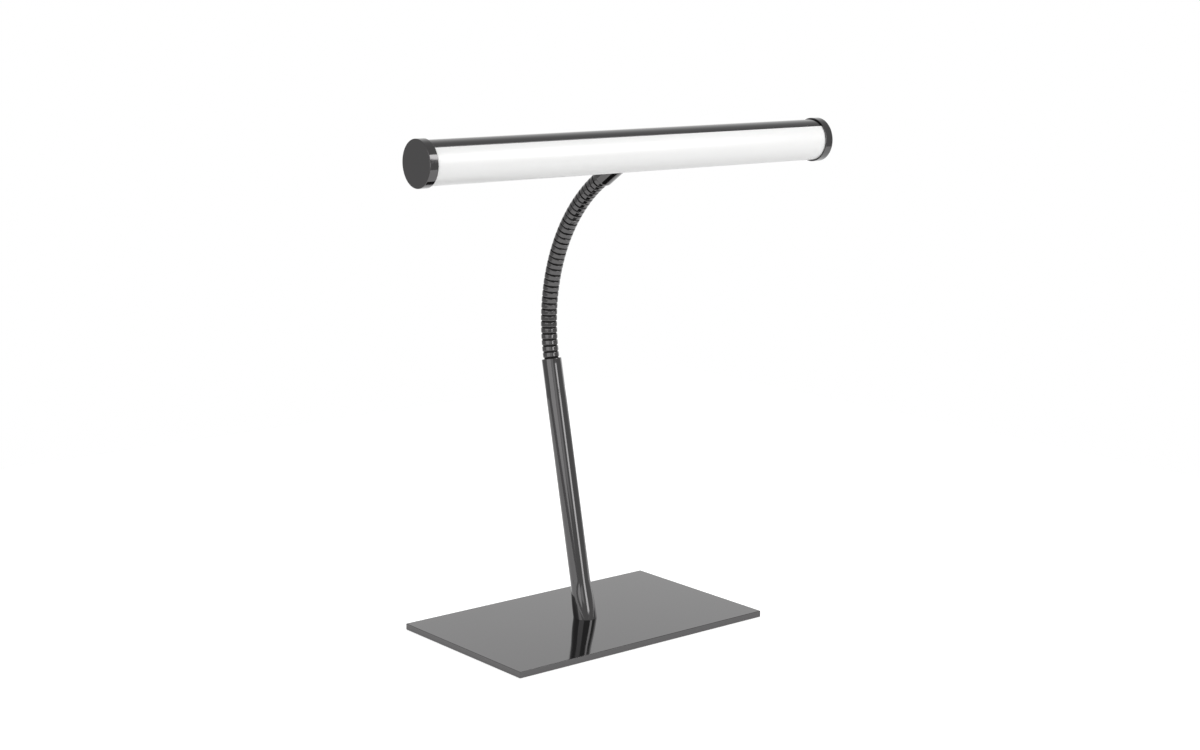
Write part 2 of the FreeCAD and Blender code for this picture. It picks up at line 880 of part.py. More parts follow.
def build_switch():
    """The push switch on the inside of the right-hand cap, and its button."""
    depth = size("switch_depth")
    half_width = size("switch_width") / 2
    front = tube_half
    body = bar("switch_blank", -depth - half_width, half_width - depth, half_width, switch_back, front)
    flange = size("button_flange_diameter") / 2
    play = size("loose_gap")
    room = size("button_flange_thickness") + size("button_travel") + play * 2
    wide = rod("switch_room", flange + play, room + 1, at(-depth, 0, front - room))
    reach = size("button_reach") + size("button_travel") + play
    narrow = rod("switch_bore", size("button_diameter") / 2 + play, reach + 1, at(-depth, 0, front - reach))
    part("switch_body", less("switch_body", body, wide, narrow), head_place)

    radius = size("button_diameter") / 2
    rounding = size("button_round")
    stand = size("button_stand")
    top = -size("cap_face") - size("ball_gap")
    under = top - size("button_flange_thickness")
    foot = -size("cap_face") - size("button_reach")
    corners = [
        (0, stand),
        (0, foot),
        (radius, foot),
        (radius, under),
        (flange, under),
        (flange, top),
        (radius, top),
        (radius, stand - rounding),
        (radius - rounding, stand, rounding, True),
    ]
    place = head_place.multiply(at(-depth, 0, head_half))
    part("switch_button", turned("switch_button", corners, place))


def build_leads():
    """The lead from the stem's connector to the driver, in three stretches, and the wires."""
    radius = size("lead_diameter") / 2
    overlap = size("lead_overlap")
    low = size("connector_height")
    high = low + size("connector_length")
    half_width = size("connector_width") / 2
    half_thick = size("connector_thickness") / 2
    connector = box("lead_connector", half_width * 2, half_thick * 2, size("connector_length"))
    part("lead_connector", connector, stem_place.multiply(at(-half_width, -half_thick, low)))

    joint_height = size("stem_length") + half_groove
    straight = rod("stem_lead", radius, joint_height - overlap - high)
    part("stem_lead", straight, stem_place.multiply(at(z=high)))

    first = joint_points[0].sub(along(tilt_at(0), overlap))
    last = joint_points[-1].add(along(ferrule_tilt, overlap))
    middle = joint_points[LINK_COUNT // 2]
    edges = [
        Part.LineSegment(first, joint_points[0]).toShape(),
        Part.Arc(joint_points[0], middle, joint_points[-1]).toShape(),
        Part.LineSegment(joint_points[-1], last).toShape(),
    ]
    part("neck_lead", shaped("neck_lead", swept_shape(edges, radius)))

    into_head = head_place.inverse()
    entry = into_head.multVec(last)
    turning = FreeCAD.Vector(entry).normalize().multiply(float(size("lead_turn")))
    depth = -size("lead_depth")
    terminal = driver_start + size("terminal_place")
    points = [entry, turning, (depth, 0, size("lead_settle")), (depth, 0, terminal)]
    bends = [size("lead_bend_radius"), size("lead_sweep_radius")]
    part("head_lead", shaped("head_lead", tube_shape(points, radius, bends), head_place))

    clip_radius = radius + size("clip_wall")
    start = size("clip_place")
    end = start + size("clip_width")
    loop = rod("clip_loop", clip_radius, end - start, at(depth, 0, start))
    stalk = bar("clip_stalk", depth, as_size(0), clip_radius / 2, start, end)
    base = bar("clip_base", -size("clip_wall"), as_size(0), clip_radius * 2, start, end)
    eye = rod("clip_eye", radius + size("slip_gap"), end - start + 2, at(depth, 0, start - 1))
    part("lead_clip", less("lead_clip", fused("clip_blank", loop, stalk, base), eye), head_place)

    wire = size("wire_diameter") / 2
    board_depth = -size("driver_spacing") - size("driver_thickness") / 2
    start = driver_start
    seat = size("carrier_thickness") + size("tape_thickness")
    sides = (size("wire_spacing") / 2, -size("wire_spacing") / 2)
    led_wires = []
    for side in sides:
        points = [
            (board_depth, side, start),
            (board_depth, side, start - size("wire_drop")),
            (seat, side, start - size("wire_drop")),
        ]
        led_wires.append(tube_shape(points, wire, [size("wire_bend_radius")]))
    part("led_wires", group("led_wires", led_wires, head_place))

    end = start + size("driver_length")
    switch_wires = []
    for side in sides:
        corner = FreeCAD.Vector(float(board_depth), float(side), float(end))
        switch_wires.append(Part.makeCylinder(float(wire), float(switch_back - end), corner))
    part("switch_wires", group("switch_wires", switch_wires, head_place))


build_base()
build_stem()
build_neck()
build_ferrule()
build_housing()
build_cover()
build_caps()
build_lights()
build_driver()
build_switch()
build_leads()
doc.recompute()

for thing in doc.Objects:
    if "Invalid" in thing.State or "Error" in thing.State:
        raise RuntimeError("%s failed: %s" % (thing.Label, thing.State))
for thing in PARTS:
    if thing.Shape.isNull() or not thing.Shape.isValid() or not thing.Shape.Solids:
        raise RuntimeError("%s has no valid solid" % thing.Label)

os.makedirs("parts", exist_ok=True)
for thing in PARTS:
    thing.Shape.exportStep("parts/%s.step" % thing.Label)
print("%d sub-parts written" % len(PARTS))
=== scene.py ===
"""Dresses a piano lamp's construction model: foot, stem, gooseneck, tube-shaped head and studio."""

import json

import bpy
import numpy as np
from bpy.props import FloatProperty, FloatVectorProperty, IntProperty, PointerProperty
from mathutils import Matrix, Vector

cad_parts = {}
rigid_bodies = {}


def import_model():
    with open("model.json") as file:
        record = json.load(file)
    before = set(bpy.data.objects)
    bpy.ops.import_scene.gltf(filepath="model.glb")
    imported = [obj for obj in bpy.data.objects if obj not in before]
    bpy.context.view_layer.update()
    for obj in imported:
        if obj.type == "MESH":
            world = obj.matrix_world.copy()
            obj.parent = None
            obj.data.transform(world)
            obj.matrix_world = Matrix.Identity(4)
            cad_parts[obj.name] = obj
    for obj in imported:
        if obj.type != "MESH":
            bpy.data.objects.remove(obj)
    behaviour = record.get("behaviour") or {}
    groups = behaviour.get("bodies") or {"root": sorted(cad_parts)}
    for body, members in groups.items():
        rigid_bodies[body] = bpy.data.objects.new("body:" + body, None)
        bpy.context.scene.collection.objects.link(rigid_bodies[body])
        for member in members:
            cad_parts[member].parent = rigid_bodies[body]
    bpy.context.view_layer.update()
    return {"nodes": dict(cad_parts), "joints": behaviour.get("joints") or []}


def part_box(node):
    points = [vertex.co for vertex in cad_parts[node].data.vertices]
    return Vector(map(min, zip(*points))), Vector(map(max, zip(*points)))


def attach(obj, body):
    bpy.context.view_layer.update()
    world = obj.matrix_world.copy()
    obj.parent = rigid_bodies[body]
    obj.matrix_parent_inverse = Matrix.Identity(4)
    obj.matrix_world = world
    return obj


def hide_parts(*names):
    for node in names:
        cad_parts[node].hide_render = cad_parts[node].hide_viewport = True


bl_info = {
    "name": "Piano Lamp",
    "version": (1, 0, 0),
    "blender": (4, 5, 0),
    "location": "View3D > Sidebar > Piano Lamp",
    "description": "Dresses a piano lamp's foot, stem, gooseneck and head, and sets up its studio",
    "category": "Object",
}

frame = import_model()
NODES = frame["nodes"]
NECK_JOINTS = [joint for joint in frame["joints"] if joint["name"].startswith("neck_")]


# The lamp's own frames, read from the model.


class Place:
    """A point of the lamp and three directions: side (along the head), across and up (the run)."""

    def __init__(self, origin, tilt):
        """The run leans by tilt, in radians, from +Z towards -Y."""
        self.origin = np.array(origin, float)
        self.side = np.array((1.0, 0.0, 0.0))
        self.across = np.array((0.0, np.cos(tilt), np.sin(tilt)))
        self.up = np.array((0.0, -np.sin(tilt), np.cos(tilt)))
        self.tilt = tilt

    def at(self, distance):
        """The point this far along the run."""
        return self.origin + self.up * distance


def joint_place(number):
    """Where the neck's joint of this number is."""
    return np.array(NECK_JOINTS[number]["pos_m"], float)


def middle(node):
    """The middle of a node's box."""
    low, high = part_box(node)
    return (np.array(low) + np.array(high)) / 2


PLATE_LOW, PLATE_HIGH = (np.array(corner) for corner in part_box("base_plate"))
LINKS = len(NECK_JOINTS) - 1
STEM_FOOT = np.array((0.0, 0.0, PLATE_HIGH[2]))
STEM_RUN = joint_place(0) - STEM_FOOT
STEM_LEAN = np.arctan2(-STEM_RUN[1], STEM_RUN[2])
STEM = Place(STEM_FOOT, STEM_LEAN)
HEAD_CENTRE = middle("cap_left") * (0, 1, 1)
FERRULE_RUN = HEAD_CENTRE - joint_place(LINKS)
FERRULE_TILT = np.arctan2(-FERRULE_RUN[1], FERRULE_RUN[2])
FERRULE = Place(joint_place(LINKS), FERRULE_TILT)
NECK_TURN = FERRULE_TILT - STEM_LEAN
CHORD = np.linalg.norm(joint_place(1) - joint_place(0))
NECK_RADIUS = CHORD / (2 * np.sin(NECK_TURN / LINKS / 2))
HEAD_HALF = float(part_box("cap_right")[1][0])


def length(name, description, default):
    """A size in metres."""
    return FloatProperty(name=name, description=description, default=default, unit="LENGTH", precision=5)


def colour(name, description, default):
    """A colour that the user can pick."""
    return FloatVectorProperty(
        name=name, description=description, default=default, subtype="COLOR", size=3, min=0.0, max=1.0
    )


def share(name, description, default):
    """A number from 0 to 1."""
    return FloatProperty(
        name=name, description=description, default=default, min=0.0, max=1.0, subtype="FACTOR"
    )


def degrees(name, description, default):
    """An angle, given in degrees."""
    return FloatProperty(
        name=name, description=description, default=float(np.radians(default)), subtype="ANGLE"
    )


class FootSizes(bpy.types.PropertyGroup):
    """Sizes of the foot plate and of the stem's tube."""

    plate_corner: length("Plate Corner", "Rounding of the plate's four upright corners", 0.00035)
    plate_edge: length("Plate Edge", "Rounding of the plate's top and bottom edges", 0.00035)
    stem_diameter: length("Stem Diameter", "Outside diameter of the stem's tube", 0.016)
    stem_wall: length("Stem Wall", "Wall of the stem's tube", 0.0012)
    stem_length: length("Stem Length", "Length of the stem from the plate to its mouth", 0.207)
    flare_diameter: length("Flare Diameter", "Diameter where the stem meets the plate", 0.0186)
    flare_height: length("Flare Height", "Height over which the stem flares", 0.030)
    end_diameter: length("End Diameter", "Diameter of the stem's drawn-in end", 0.0156)
    end_length: length("End Length", "Length of the stem's drawn-in end", 0.020)
    end_taper: length("End Taper", "Length of the taper to the drawn-in end", 0.014)
    mouth_round: length("Mouth Rounding", "Rounding of the stem's mouth", 0.0006)
    inlet_height: length("Inlet Height", "Height of the grommet above the plate", 0.034)
    inlet_hole: length("Inlet Hole", "Diameter of the hole for the grommet", 0.0057)


class NeckSizes(bpy.types.PropertyGroup):
    """Sizes of the gooseneck and of the ferrule."""

    pitch: length("Rib Pitch", "Distance from one rib to the next", 0.0049)
    crest: length("Crest Diameter", "Diameter over the ribs", 0.0128)
    groove: length("Groove Diameter", "Diameter in the grooves", 0.0115)
    bore: length("Bore", "Diameter of the passage for the lead", 0.0052)
    rib_share: share("Rib Share", "How much of the pitch a rib takes up", 0.76)
    fullness: FloatProperty(
        name="Rib Fullness", description="How square the ribs are: 2 is round", default=5.5, min=1.5, max=8.0
    )
    lead_diameter: length("Lead Diameter", "Diameter of the lead in the neck", 0.0032)
    gap: length("Joint Gap", "From a joint to the links' ends: half the groove there", 0.0006)
    ball: length("Ball Diameter", "Diameter of the ball at a link's lower end", 0.0113)
    ball_gap: length("Ball Gap", "Gap between a ball and its cup", 0.00005)
    ball_reach: length("Ball Reach", "How far a ball reaches below its joint", 0.0024)
    tail_length: length("Tail Length", "How far the neck reaches into the stem", 0.024)
    tail_diameter: length("Tail Diameter", "Outside diameter of the neck's tail", 0.0134)
    columns: IntProperty(name="Columns", description="Faces round the neck", default=72, min=12, max=256)
    ferrule_diameter: length("Ferrule Diameter", "Outside diameter of the ferrule", 0.0154)
    ferrule_start: length("Ferrule Start", "How far past the last joint the ribs go on", 0.0049)
    ferrule_round: length("Ferrule Rounding", "Rounding of the ferrule's lower edge", 0.0006)
    nipple_diameter: length("Nipple Diameter", "Diameter of the nipple through the housing", 0.008)
    nipple_end: length("Nipple End", "How far the nipple reaches from the last joint", 0.0373)


class HeadSizes(bpy.types.PropertyGroup):
    """Sizes of the head: housing, opal cover, caps and button."""

    tube_diameter: length("Tube Diameter", "Outside diameter of the head's tube", 0.032)
    wall: length("Housing Wall", "Wall of the metal housing", 0.0016)
    front_edge: degrees("Front Edge", "Angle of the housing's upper edge, from the top to the front", 43.5)
    span: degrees("Housing Span", "Angle that the housing goes round", 210.0)
    seam: degrees("Seam", "Angle left open between housing and cover", 0.4)
    cover_step: length("Cover Step", "How far the cover lies below the housing", 0.00015)
    ledge_width: length("Ledge Width", "Width of the ledge inside each edge of the housing", 0.0026)
    ledge_thickness: length("Ledge Thickness", "Thickness of that ledge", 0.0015)
    cap_diameter: length("Cap Diameter", "Outside diameter of the caps", 0.0343)
    cap_length: length("Cap Length", "Length of the caps", 0.007)
    cap_face: length("Cap Face", "Thickness of the caps' faces", 0.002)
    cap_edge: length("Cap Edge", "Rounding of the caps' edges", 0.0004)
    button_diameter: length("Button Diameter", "Diameter of the push button", 0.007)
    button_stand: length("Button Stand", "How far the button stands out of the cap", 0.002)
    button_depth: length("Button Depth", "How far behind the tube's middle the button lies", 0.0062)


class Finishes(bpy.types.PropertyGroup):
    """Colours of the lamp's finishes."""

    black_chrome: colour(
        "Black Chrome", "Polished black chrome of all the metal outside", (0.102, 0.100, 0.101)
    )
    opal: colour("Opal", "The cover's opal plastic", (0.90, 0.90, 0.895))
    felt: colour("Felt", "Felt under the foot", (0.028, 0.028, 0.030))
    rubber: colour("Rubber", "The grommet's rubber", (0.025, 0.025, 0.026))
    jacket: colour("Lead Jacket", "Jacket of the leads", (0.035, 0.035, 0.036))
    zinc: colour("Zinc", "Zinc-plated steel inside", (0.56, 0.57, 0.60))
    polish: share("Polish", "Roughness of the black chrome", 0.07)


class Studio(bpy.types.PropertyGroup):
    """The camera, the lights and the floor."""

    camera_place: FloatVectorProperty(
        name="Camera Place",
        description="Where the camera stands",
        default=(-0.96487, -1.21727, 0.49149),
        subtype="TRANSLATION",
        size=3,
        precision=5,
    )
    camera_turn: FloatVectorProperty(
        name="Camera Turn",
        description="How the camera is turned",
        default=tuple(float(np.radians(angle)) for angle in (79.402, 0.0, -38.839)),
        subtype="EULER",
        size=3,
    )
    focal_length: FloatProperty(
        name="Focal Length",
        description="The camera's focal length, in millimetres",
        default=61.10,
        min=1.0,
    )
    room_light: FloatProperty(
        name="Room Light", description="Strength of the light from all round", default=0.55, min=0.0
    )
    room_shade: share("Room Shade", "How bright the metal sees the room's sides, against its backdrop", 0.61)
    floor_glow: FloatProperty(
        name="Floor Glow", description="What the camera sees added to the lit floor", default=0.70, min=0.0
    )


# Surfaces.


def blocks(rows, columns, around, loop):
    """The faces of a grid: each joins row i and i + 1, column j and j + 1, wrapping where asked."""
    row = np.arange(rows if loop else rows - 1)[:, None]
    column = np.arange(columns if around else columns - 1)[None, :]
    next_row = (row + 1) % rows
    next_column = (column + 1) % columns
    corners = (
        row * columns + column,
        row * columns + next_column,
        next_row * columns + next_column,
        next_row * columns + column,
    )
    return np.stack(np.broadcast_arrays(*corners), axis=-1).reshape(-1, 4)


def make_mesh(name, points, faces, rings=()):
    """A mesh from points, four-sided faces and rings, each a flat face through many points."""
    points = np.asarray(points, np.float32).reshape(-1, 3)
    corners = np.concatenate([faces.ravel(), *rings]).astype(np.int32)
    sizes = np.concatenate([np.full(len(faces), 4), [len(ring) for ring in rings]]).astype(np.int32)
    starts = np.concatenate([[0], np.cumsum(sizes)[:-1]]).astype(np.int32)
    mesh = bpy.data.meshes.new(name)
    mesh.vertices.add(len(points))
    mesh.vertices.foreach_set("co", points.ravel())
    mesh.loops.add(len(corners))
    mesh.loops.foreach_set("vertex_index", corners)
    mesh.polygons.add(len(sizes))
    mesh.polygons.foreach_set("loop_start", starts)
    mesh.polygons.foreach_set("use_smooth", np.ones(len(sizes), bool))
    mesh.update(calc_edges=True)
    mesh.validate()
    return mesh


def add_piece(name, mesh, material):
    """A mesh as an object of the scene, at the origin, in its material."""
    piece = bpy.data.objects.new(name, mesh)
    bpy.context.scene.collection.objects.link(piece)
    mesh.materials.append(material)
    return piece


def grid_mesh(name, points, around=True, loop=True):
    """A mesh over a grid of points of shape (rows, columns, 3). A grid that doesn't close on
    itself over its rows is closed by a flat face over its first row and one over its last."""
    rows, columns = points.shape[:2]
    faces = blocks(rows, columns, around, loop)
    rings = []
    if not loop:
        rings = [np.arange(columns)[::-1], (rows - 1) * columns + np.arange(columns)]
    return make_mesh(name, points, faces, rings)


def bar_mesh(name, points):
    """A mesh over a grid whose rows go round a closed outline and whose columns go along a bar.
    The first and the last column are closed by a flat face each."""
    rows, columns = points.shape[:2]
    faces = blocks(rows, columns, False, True)[:, ::-1]
    outline = np.arange(rows) * columns
    return make_mesh(name, points, faces, [outline[::-1], outline + columns - 1])


def softened(corners, reach, steps=6, guard=0.25):
    """A closed outline with every corner rounded. With A and C on the sides at a distance reach
    from the corner P, the arc is (u^2 A + 2 u t w P + t^2 C) / (u^2 + 2 u t w + t^2), u = 1 - t,
    where w is the sine of half the corner's angle. A guard point before and after each arc
    keeps the flats' shading flat."""
    corners = np.asarray(corners, float)
    reach = np.broadcast_to(np.asarray(reach, float), len(corners))[:, None]
    before = np.roll(corners, 1, axis=0) - corners
    after = np.roll(corners, -1, axis=0) - corners
    before /= np.linalg.norm(before, axis=1, keepdims=True)
    after /= np.linalg.norm(after, axis=1, keepdims=True)
    opening = np.arccos(np.clip((before * after).sum(axis=1), -1, 1))
    weight = np.sin(opening / 2)[:, None, None]
    first = (corners + before * reach)[:, None, :]
    last = (corners + after * reach)[:, None, :]
    t = np.linspace(0, 1, steps)[None, :, None]
    u = 1 - t
    under = u * u + 2 * u * t * weight + t * t
    arc = (u * u * first + 2 * u * t * weight * corners[:, None, :] + t * t * last) / under
    lead_in = (corners + before * reach * (1 + guard))[:, None, :]
    lead_out = (corners + after * reach * (1 + guard))[:, None, :]
    return np.concatenate([lead_in, arc, lead_out], axis=1).reshape(-1, 2)


def turned(place, outline, columns=96):
    """Points of a turned surface: origin + r (cos a side + sin a across) + h up, for each (r, h)
    of the outline and each angle a."""
    angle = np.linspace(0, 2 * np.pi, columns, endpoint=False)
    way = np.cos(angle)[:, None] * place.side + np.sin(angle)[:, None] * place.across
    radius, height = np.asarray(outline, float).T
    return place.origin + radius[:, None, None] * way + height[:, None, None] * place.up


def turned_piece(name, place, outline, material, columns=96, loop=True):
    """A piece turned from an outline, hollow where the outline is a loop."""
    mesh = grid_mesh(name, turned(place, outline, columns), True, loop)
    return add_piece(name, mesh, material)


# Materials.


def add_node(tree, kind, inputs=None, **settings):
    """A node with its settings, and its inputs set or linked."""
    node = tree.nodes.new(kind)
    for name, value in settings.items():
        setattr(node, name, value)
    for name, value in (inputs or {}).items():
        if isinstance(value, bpy.types.NodeSocket):
            tree.links.new(value, node.inputs[name])
        else:
            node.inputs[name].default_value = value
    return node


def math_node(tree, operation, first, second, third=None):
    """What a Math node gives."""
    inputs = {0: first, 1: second}
    if third is not None:
        inputs[2] = third
    return add_node(tree, "ShaderNodeMath", inputs, operation=operation).outputs[0]


def noise(tree, place, scale, detail=4.0, roughness=0.5, distortion=0.0):
    """Noise from 0 to 1 in the piece's own space."""
    inputs = {
        "Vector": place,
        "Scale": scale,
        "Detail": detail,
        "Roughness": roughness,
        "Distortion": distortion,
    }
    return add_node(tree, "ShaderNodeTexNoise", inputs).outputs["Fac"]


def new_effect(name, inputs, outputs):
    """A node group with named inputs and outputs, and its two end nodes."""
    tree = bpy.data.node_groups.new(name, "ShaderNodeTree")
    for label, kind, value in inputs:
        socket = tree.interface.new_socket(name=label, in_out="INPUT", socket_type=kind)
        socket.default_value = value
    for label, kind in outputs:
        tree.interface.new_socket(name=label, in_out="OUTPUT", socket_type=kind)
    start = tree.nodes.new("NodeGroupInput")
    end = tree.nodes.new("NodeGroupOutput")
    return tree, start.outputs, end.inputs


COLOUR = "NodeSocketColor"
NUMBER = "NodeSocketFloat"
VECTOR = "NodeSocketVector"


def tinted(tree, base, amount):
    """The base colour made lighter or darker: base times (1 + amount)."""
    factor = math_node(tree, "ADD", amount, 1.0)
    mix = add_node(tree, "ShaderNodeVectorMath", {0: base}, operation="SCALE")
    tree.links.new(factor, mix.inputs["Scale"])
    return mix.outputs[0]


def handled_effect():
    """Faint cloudy marks of handling and polishing, with a fine unevenness of the surface."""
    tree, start, end = new_effect(
        "Handled Surface",
        [
            ("Colour", COLOUR, (0.5, 0.5, 0.5, 1)),
            ("Roughness", NUMBER, 0.3),
            ("Tint Shift", NUMBER, 0.05),
            ("Roughness Shift", NUMBER, 0.1),
            ("Mark Scale", NUMBER, 40.0),
            ("Grain Scale", NUMBER, 900.0),
        ],
        [("Colour", COLOUR), ("Roughness", NUMBER), ("Height", NUMBER)],
    )
    place = add_node(tree, "ShaderNodeTexCoord").outputs["Object"]
    marks = math_node(tree, "SUBTRACT", noise(tree, place, start["Mark Scale"], 5.0, 0.6, 0.4), 0.5)
    grain = noise(tree, place, start["Grain Scale"], 3.0, 0.55)
    tint = math_node(tree, "MULTIPLY", marks, start["Tint Shift"])
    tree.links.new(tinted(tree, start["Colour"], tint), end["Colour"])
    cloud = math_node(tree, "MULTIPLY", marks, 1.4)
    both = math_node(tree, "ADD", cloud, math_node(tree, "SUBTRACT", grain, 0.5))
    rough = math_node(tree, "MULTIPLY_ADD", both, start["Roughness Shift"], start["Roughness"])
    tree.links.new(rough, end["Roughness"])
    tree.links.new(grain, end["Height"])
    return tree


def hairline_effect():
    """Hairlines left by polishing: noise drawn out along one axis of the piece."""
    tree, start, end = new_effect(
        "Polishing Hairlines",
        [("Stretch", VECTOR, (4.0, 1.0, 1.0)), ("Scale", NUMBER, 300.0), ("Amount", NUMBER, 0.5)],
        [("Mask", NUMBER), ("Height", NUMBER)],
    )
    place = add_node(tree, "ShaderNodeTexCoord").outputs["Object"]
    stretched = {0: place, 1: start["Stretch"]}
    drawn = add_node(tree, "ShaderNodeVectorMath", stretched, operation="MULTIPLY").outputs[0]
    lines = noise(tree, drawn, start["Scale"], 2.0, 0.5)
    sharp = math_node(tree, "POWER", lines, 6.0)
    tree.links.new(math_node(tree, "MULTIPLY", sharp, start["Amount"]), end["Mask"])
    tree.links.new(math_node(tree, "MULTIPLY", lines, start["Amount"]), end["Height"])
    return tree


def felt_effect():
    """Short tangled fibres: two distorted noises, one coarse and one fine."""
    tree, start, end = new_effect(
        "Felt Fibres",
        [("Colour", COLOUR, (0.03, 0.03, 0.03, 1)), ("Scale", NUMBER, 800.0)],
        [("Colour", COLOUR), ("Roughness", NUMBER), ("Height", NUMBER)],
    )
    place = add_node(tree, "ShaderNodeTexCoord").outputs["Object"]
    coarse = noise(tree, place, start["Scale"], 4.0, 0.65, 2.5)
    fine_scale = math_node(tree, "MULTIPLY", start["Scale"], 3.0)
    fine = noise(tree, place, fine_scale, 3.0, 0.6, 1.0)
    fibres = math_node(tree, "MULTIPLY", math_node(tree, "ADD", coarse, fine), 0.5)
    shade = math_node(tree, "MULTIPLY", math_node(tree, "SUBTRACT", fibres, 0.5), 1.6)
    tree.links.new(tinted(tree, start["Colour"], shade), end["Colour"])
    tree.links.new(math_node(tree, "MULTIPLY_ADD", fibres, 0.2, 0.78), end["Roughness"])
    tree.links.new(fibres, end["Height"])
    return tree


def effect(name, make):
    """The node group of this name, made the first time that a material asks for it."""
    return bpy.data.node_groups.get(name) or make()


def new_material(name, metallic=0.0, ior=1.5, coat=0.0, coat_roughness=0.03):
    """A material with its main shader, whose constants are set on its own sockets."""
    material = bpy.data.materials.new(name)
    material.use_nodes = True
    shader = material.node_tree.nodes["Principled BSDF"]
    shader.inputs["Metallic"].default_value = metallic
    shader.inputs["IOR"].default_value = ior
    shader.inputs["Coat Weight"].default_value = coat
    shader.inputs["Coat Roughness"].default_value = coat_roughness
    return material, material.node_tree, shader


def use_effect(tree, group, **inputs):
    """A node group placed in a material, with its own values."""
    node = add_node(tree, "ShaderNodeGroup", node_tree=group)
    for name, value in inputs.items():
        socket = node.inputs[name.replace("_", " ")]
        if isinstance(value, bpy.types.NodeSocket):
            tree.links.new(value, socket)
        else:
            socket.default_value = value
    return node.outputs


def raise_bumps(tree, shader, height, strength, distance=0.0001):
    """Bumps of the surface from a height."""
    bump = add_node(tree, "ShaderNodeBump", {"Height": height, "Strength": strength, "Distance": distance})
    tree.links.new(bump.outputs["Normal"], shader.inputs["Normal"])


def opaque(rgb):
    """A colour with its alpha."""
    return (*tuple(rgb)[:3], 1.0)


def handled_surface(tree, rgb, roughness, tint, spread, marks, grain):
    """Marks of handling, placed in a material with its own values."""
    return use_effect(
        tree,
        effect("Handled Surface", handled_effect),
        Colour=opaque(rgb),
        Roughness=roughness,
        Tint_Shift=tint,
        Roughness_Shift=spread,
        Mark_Scale=marks,
        Grain_Scale=grain,
    )


def cover_with(tree, shader, surface, bump, distance=0.0001):
    """Gives a material the colour, roughness and bumps of an effect."""
    tree.links.new(surface["Colour"], shader.inputs["Base Color"])
    tree.links.new(surface["Roughness"], shader.inputs["Roughness"])
    raise_bumps(tree, shader, surface["Height"], bump, distance)


def handled_material(
    name,
    rgb,
    roughness,
    metallic=0.0,
    tint=0.06,
    spread=0.08,
    marks=60.0,
    grain=1500.0,
    bump=0.15,
    **shader_values,
):
    """Moulded, painted or plated stuff with faint marks of handling."""
    material, tree, shader = new_material(name, metallic, **shader_values)
    surface = handled_surface(tree, rgb, roughness, tint, spread, marks, grain)
    cover_with(tree, shader, surface, bump)
    return material


def chrome_material(name, rgb, roughness, stretch, hairlines=0.35, bump=0.02, marks=22.0):
    """Polished black chrome: handling marks, hairlines along the way it was polished."""
    material, tree, shader = new_material(name, 1.0)
    surface = handled_surface(tree, rgb, roughness, tint=0.05, spread=0.035, marks=marks, grain=700.0)
    lines = use_effect(
        tree, effect("Polishing Hairlines", hairline_effect), Stretch=stretch, Scale=500.0, Amount=hairlines
    )
    rough = math_node(tree, "MULTIPLY_ADD", lines["Mask"], 0.25, surface["Roughness"])
    tree.links.new(surface["Colour"], shader.inputs["Base Color"])
    tree.links.new(rough, shader.inputs["Roughness"])
    raise_bumps(tree, shader, lines["Height"], bump, 0.00002)
    return material


def neck_material(rgb, roughness):
    """Black chrome ribs, with painted shade in the grooves between them: darkened nearly to black, and
    duller.
    """
    material, tree, shader = new_material("neck_chrome", 1.0)
    surface = handled_surface(tree, rgb, roughness, tint=0.10, spread=0.06, marks=150.0, grain=1800.0)
    groove = add_node(tree, "ShaderNodeAttribute", attribute_name="groove").outputs["Fac"]
    # Painted shade: the colour darkens by up to 80% in the grooves, following the groove mask.
    painted_shade = math_node(tree, "MULTIPLY", groove, -0.80)
    tree.links.new(tinted(tree, surface["Colour"], painted_shade), shader.inputs["Base Color"])
    rough = math_node(tree, "MULTIPLY_ADD", groove, 0.45, surface["Roughness"])
    tree.links.new(rough, shader.inputs["Roughness"])
    raise_bumps(tree, shader, surface["Height"], 0.05, 0.00005)
    return material


def opal_material(rgb):
    """Opal plastic: an even white with a soft gloss and a barely uneven moulded surface."""
    material, tree, shader = new_material("opal_plastic", 0.0, ior=1.49)
    surface = handled_surface(tree, rgb, roughness=0.34, tint=0.012, spread=0.05, marks=35.0, grain=1200.0)
    cover_with(tree, shader, surface, 0.04)
    return material


def felt_material(rgb):
    """Needled felt."""
    material, tree, shader = new_material("black_felt")
    fibres = use_effect(tree, effect("Felt Fibres", felt_effect), Colour=opaque(rgb), Scale=900.0)
    shader.inputs["Sheen Weight"].default_value = 0.35
    cover_with(tree, shader, fibres, 0.6, 0.0003)
    return material


def finish_node(name, material):
    """Gives a node of the model its material in all its slots."""
    mesh = NODES[name].data
    mesh.materials.clear()
    mesh.materials.append(material)


def black_chrome(name, stretch, **values):
    """Black chrome in the colour and polish that the panel gives."""
    finishes = bpy.context.scene.lamp_finishes
    return chrome_material(name, finishes.black_chrome, finishes.polish, stretch, **values)


# The pieces.


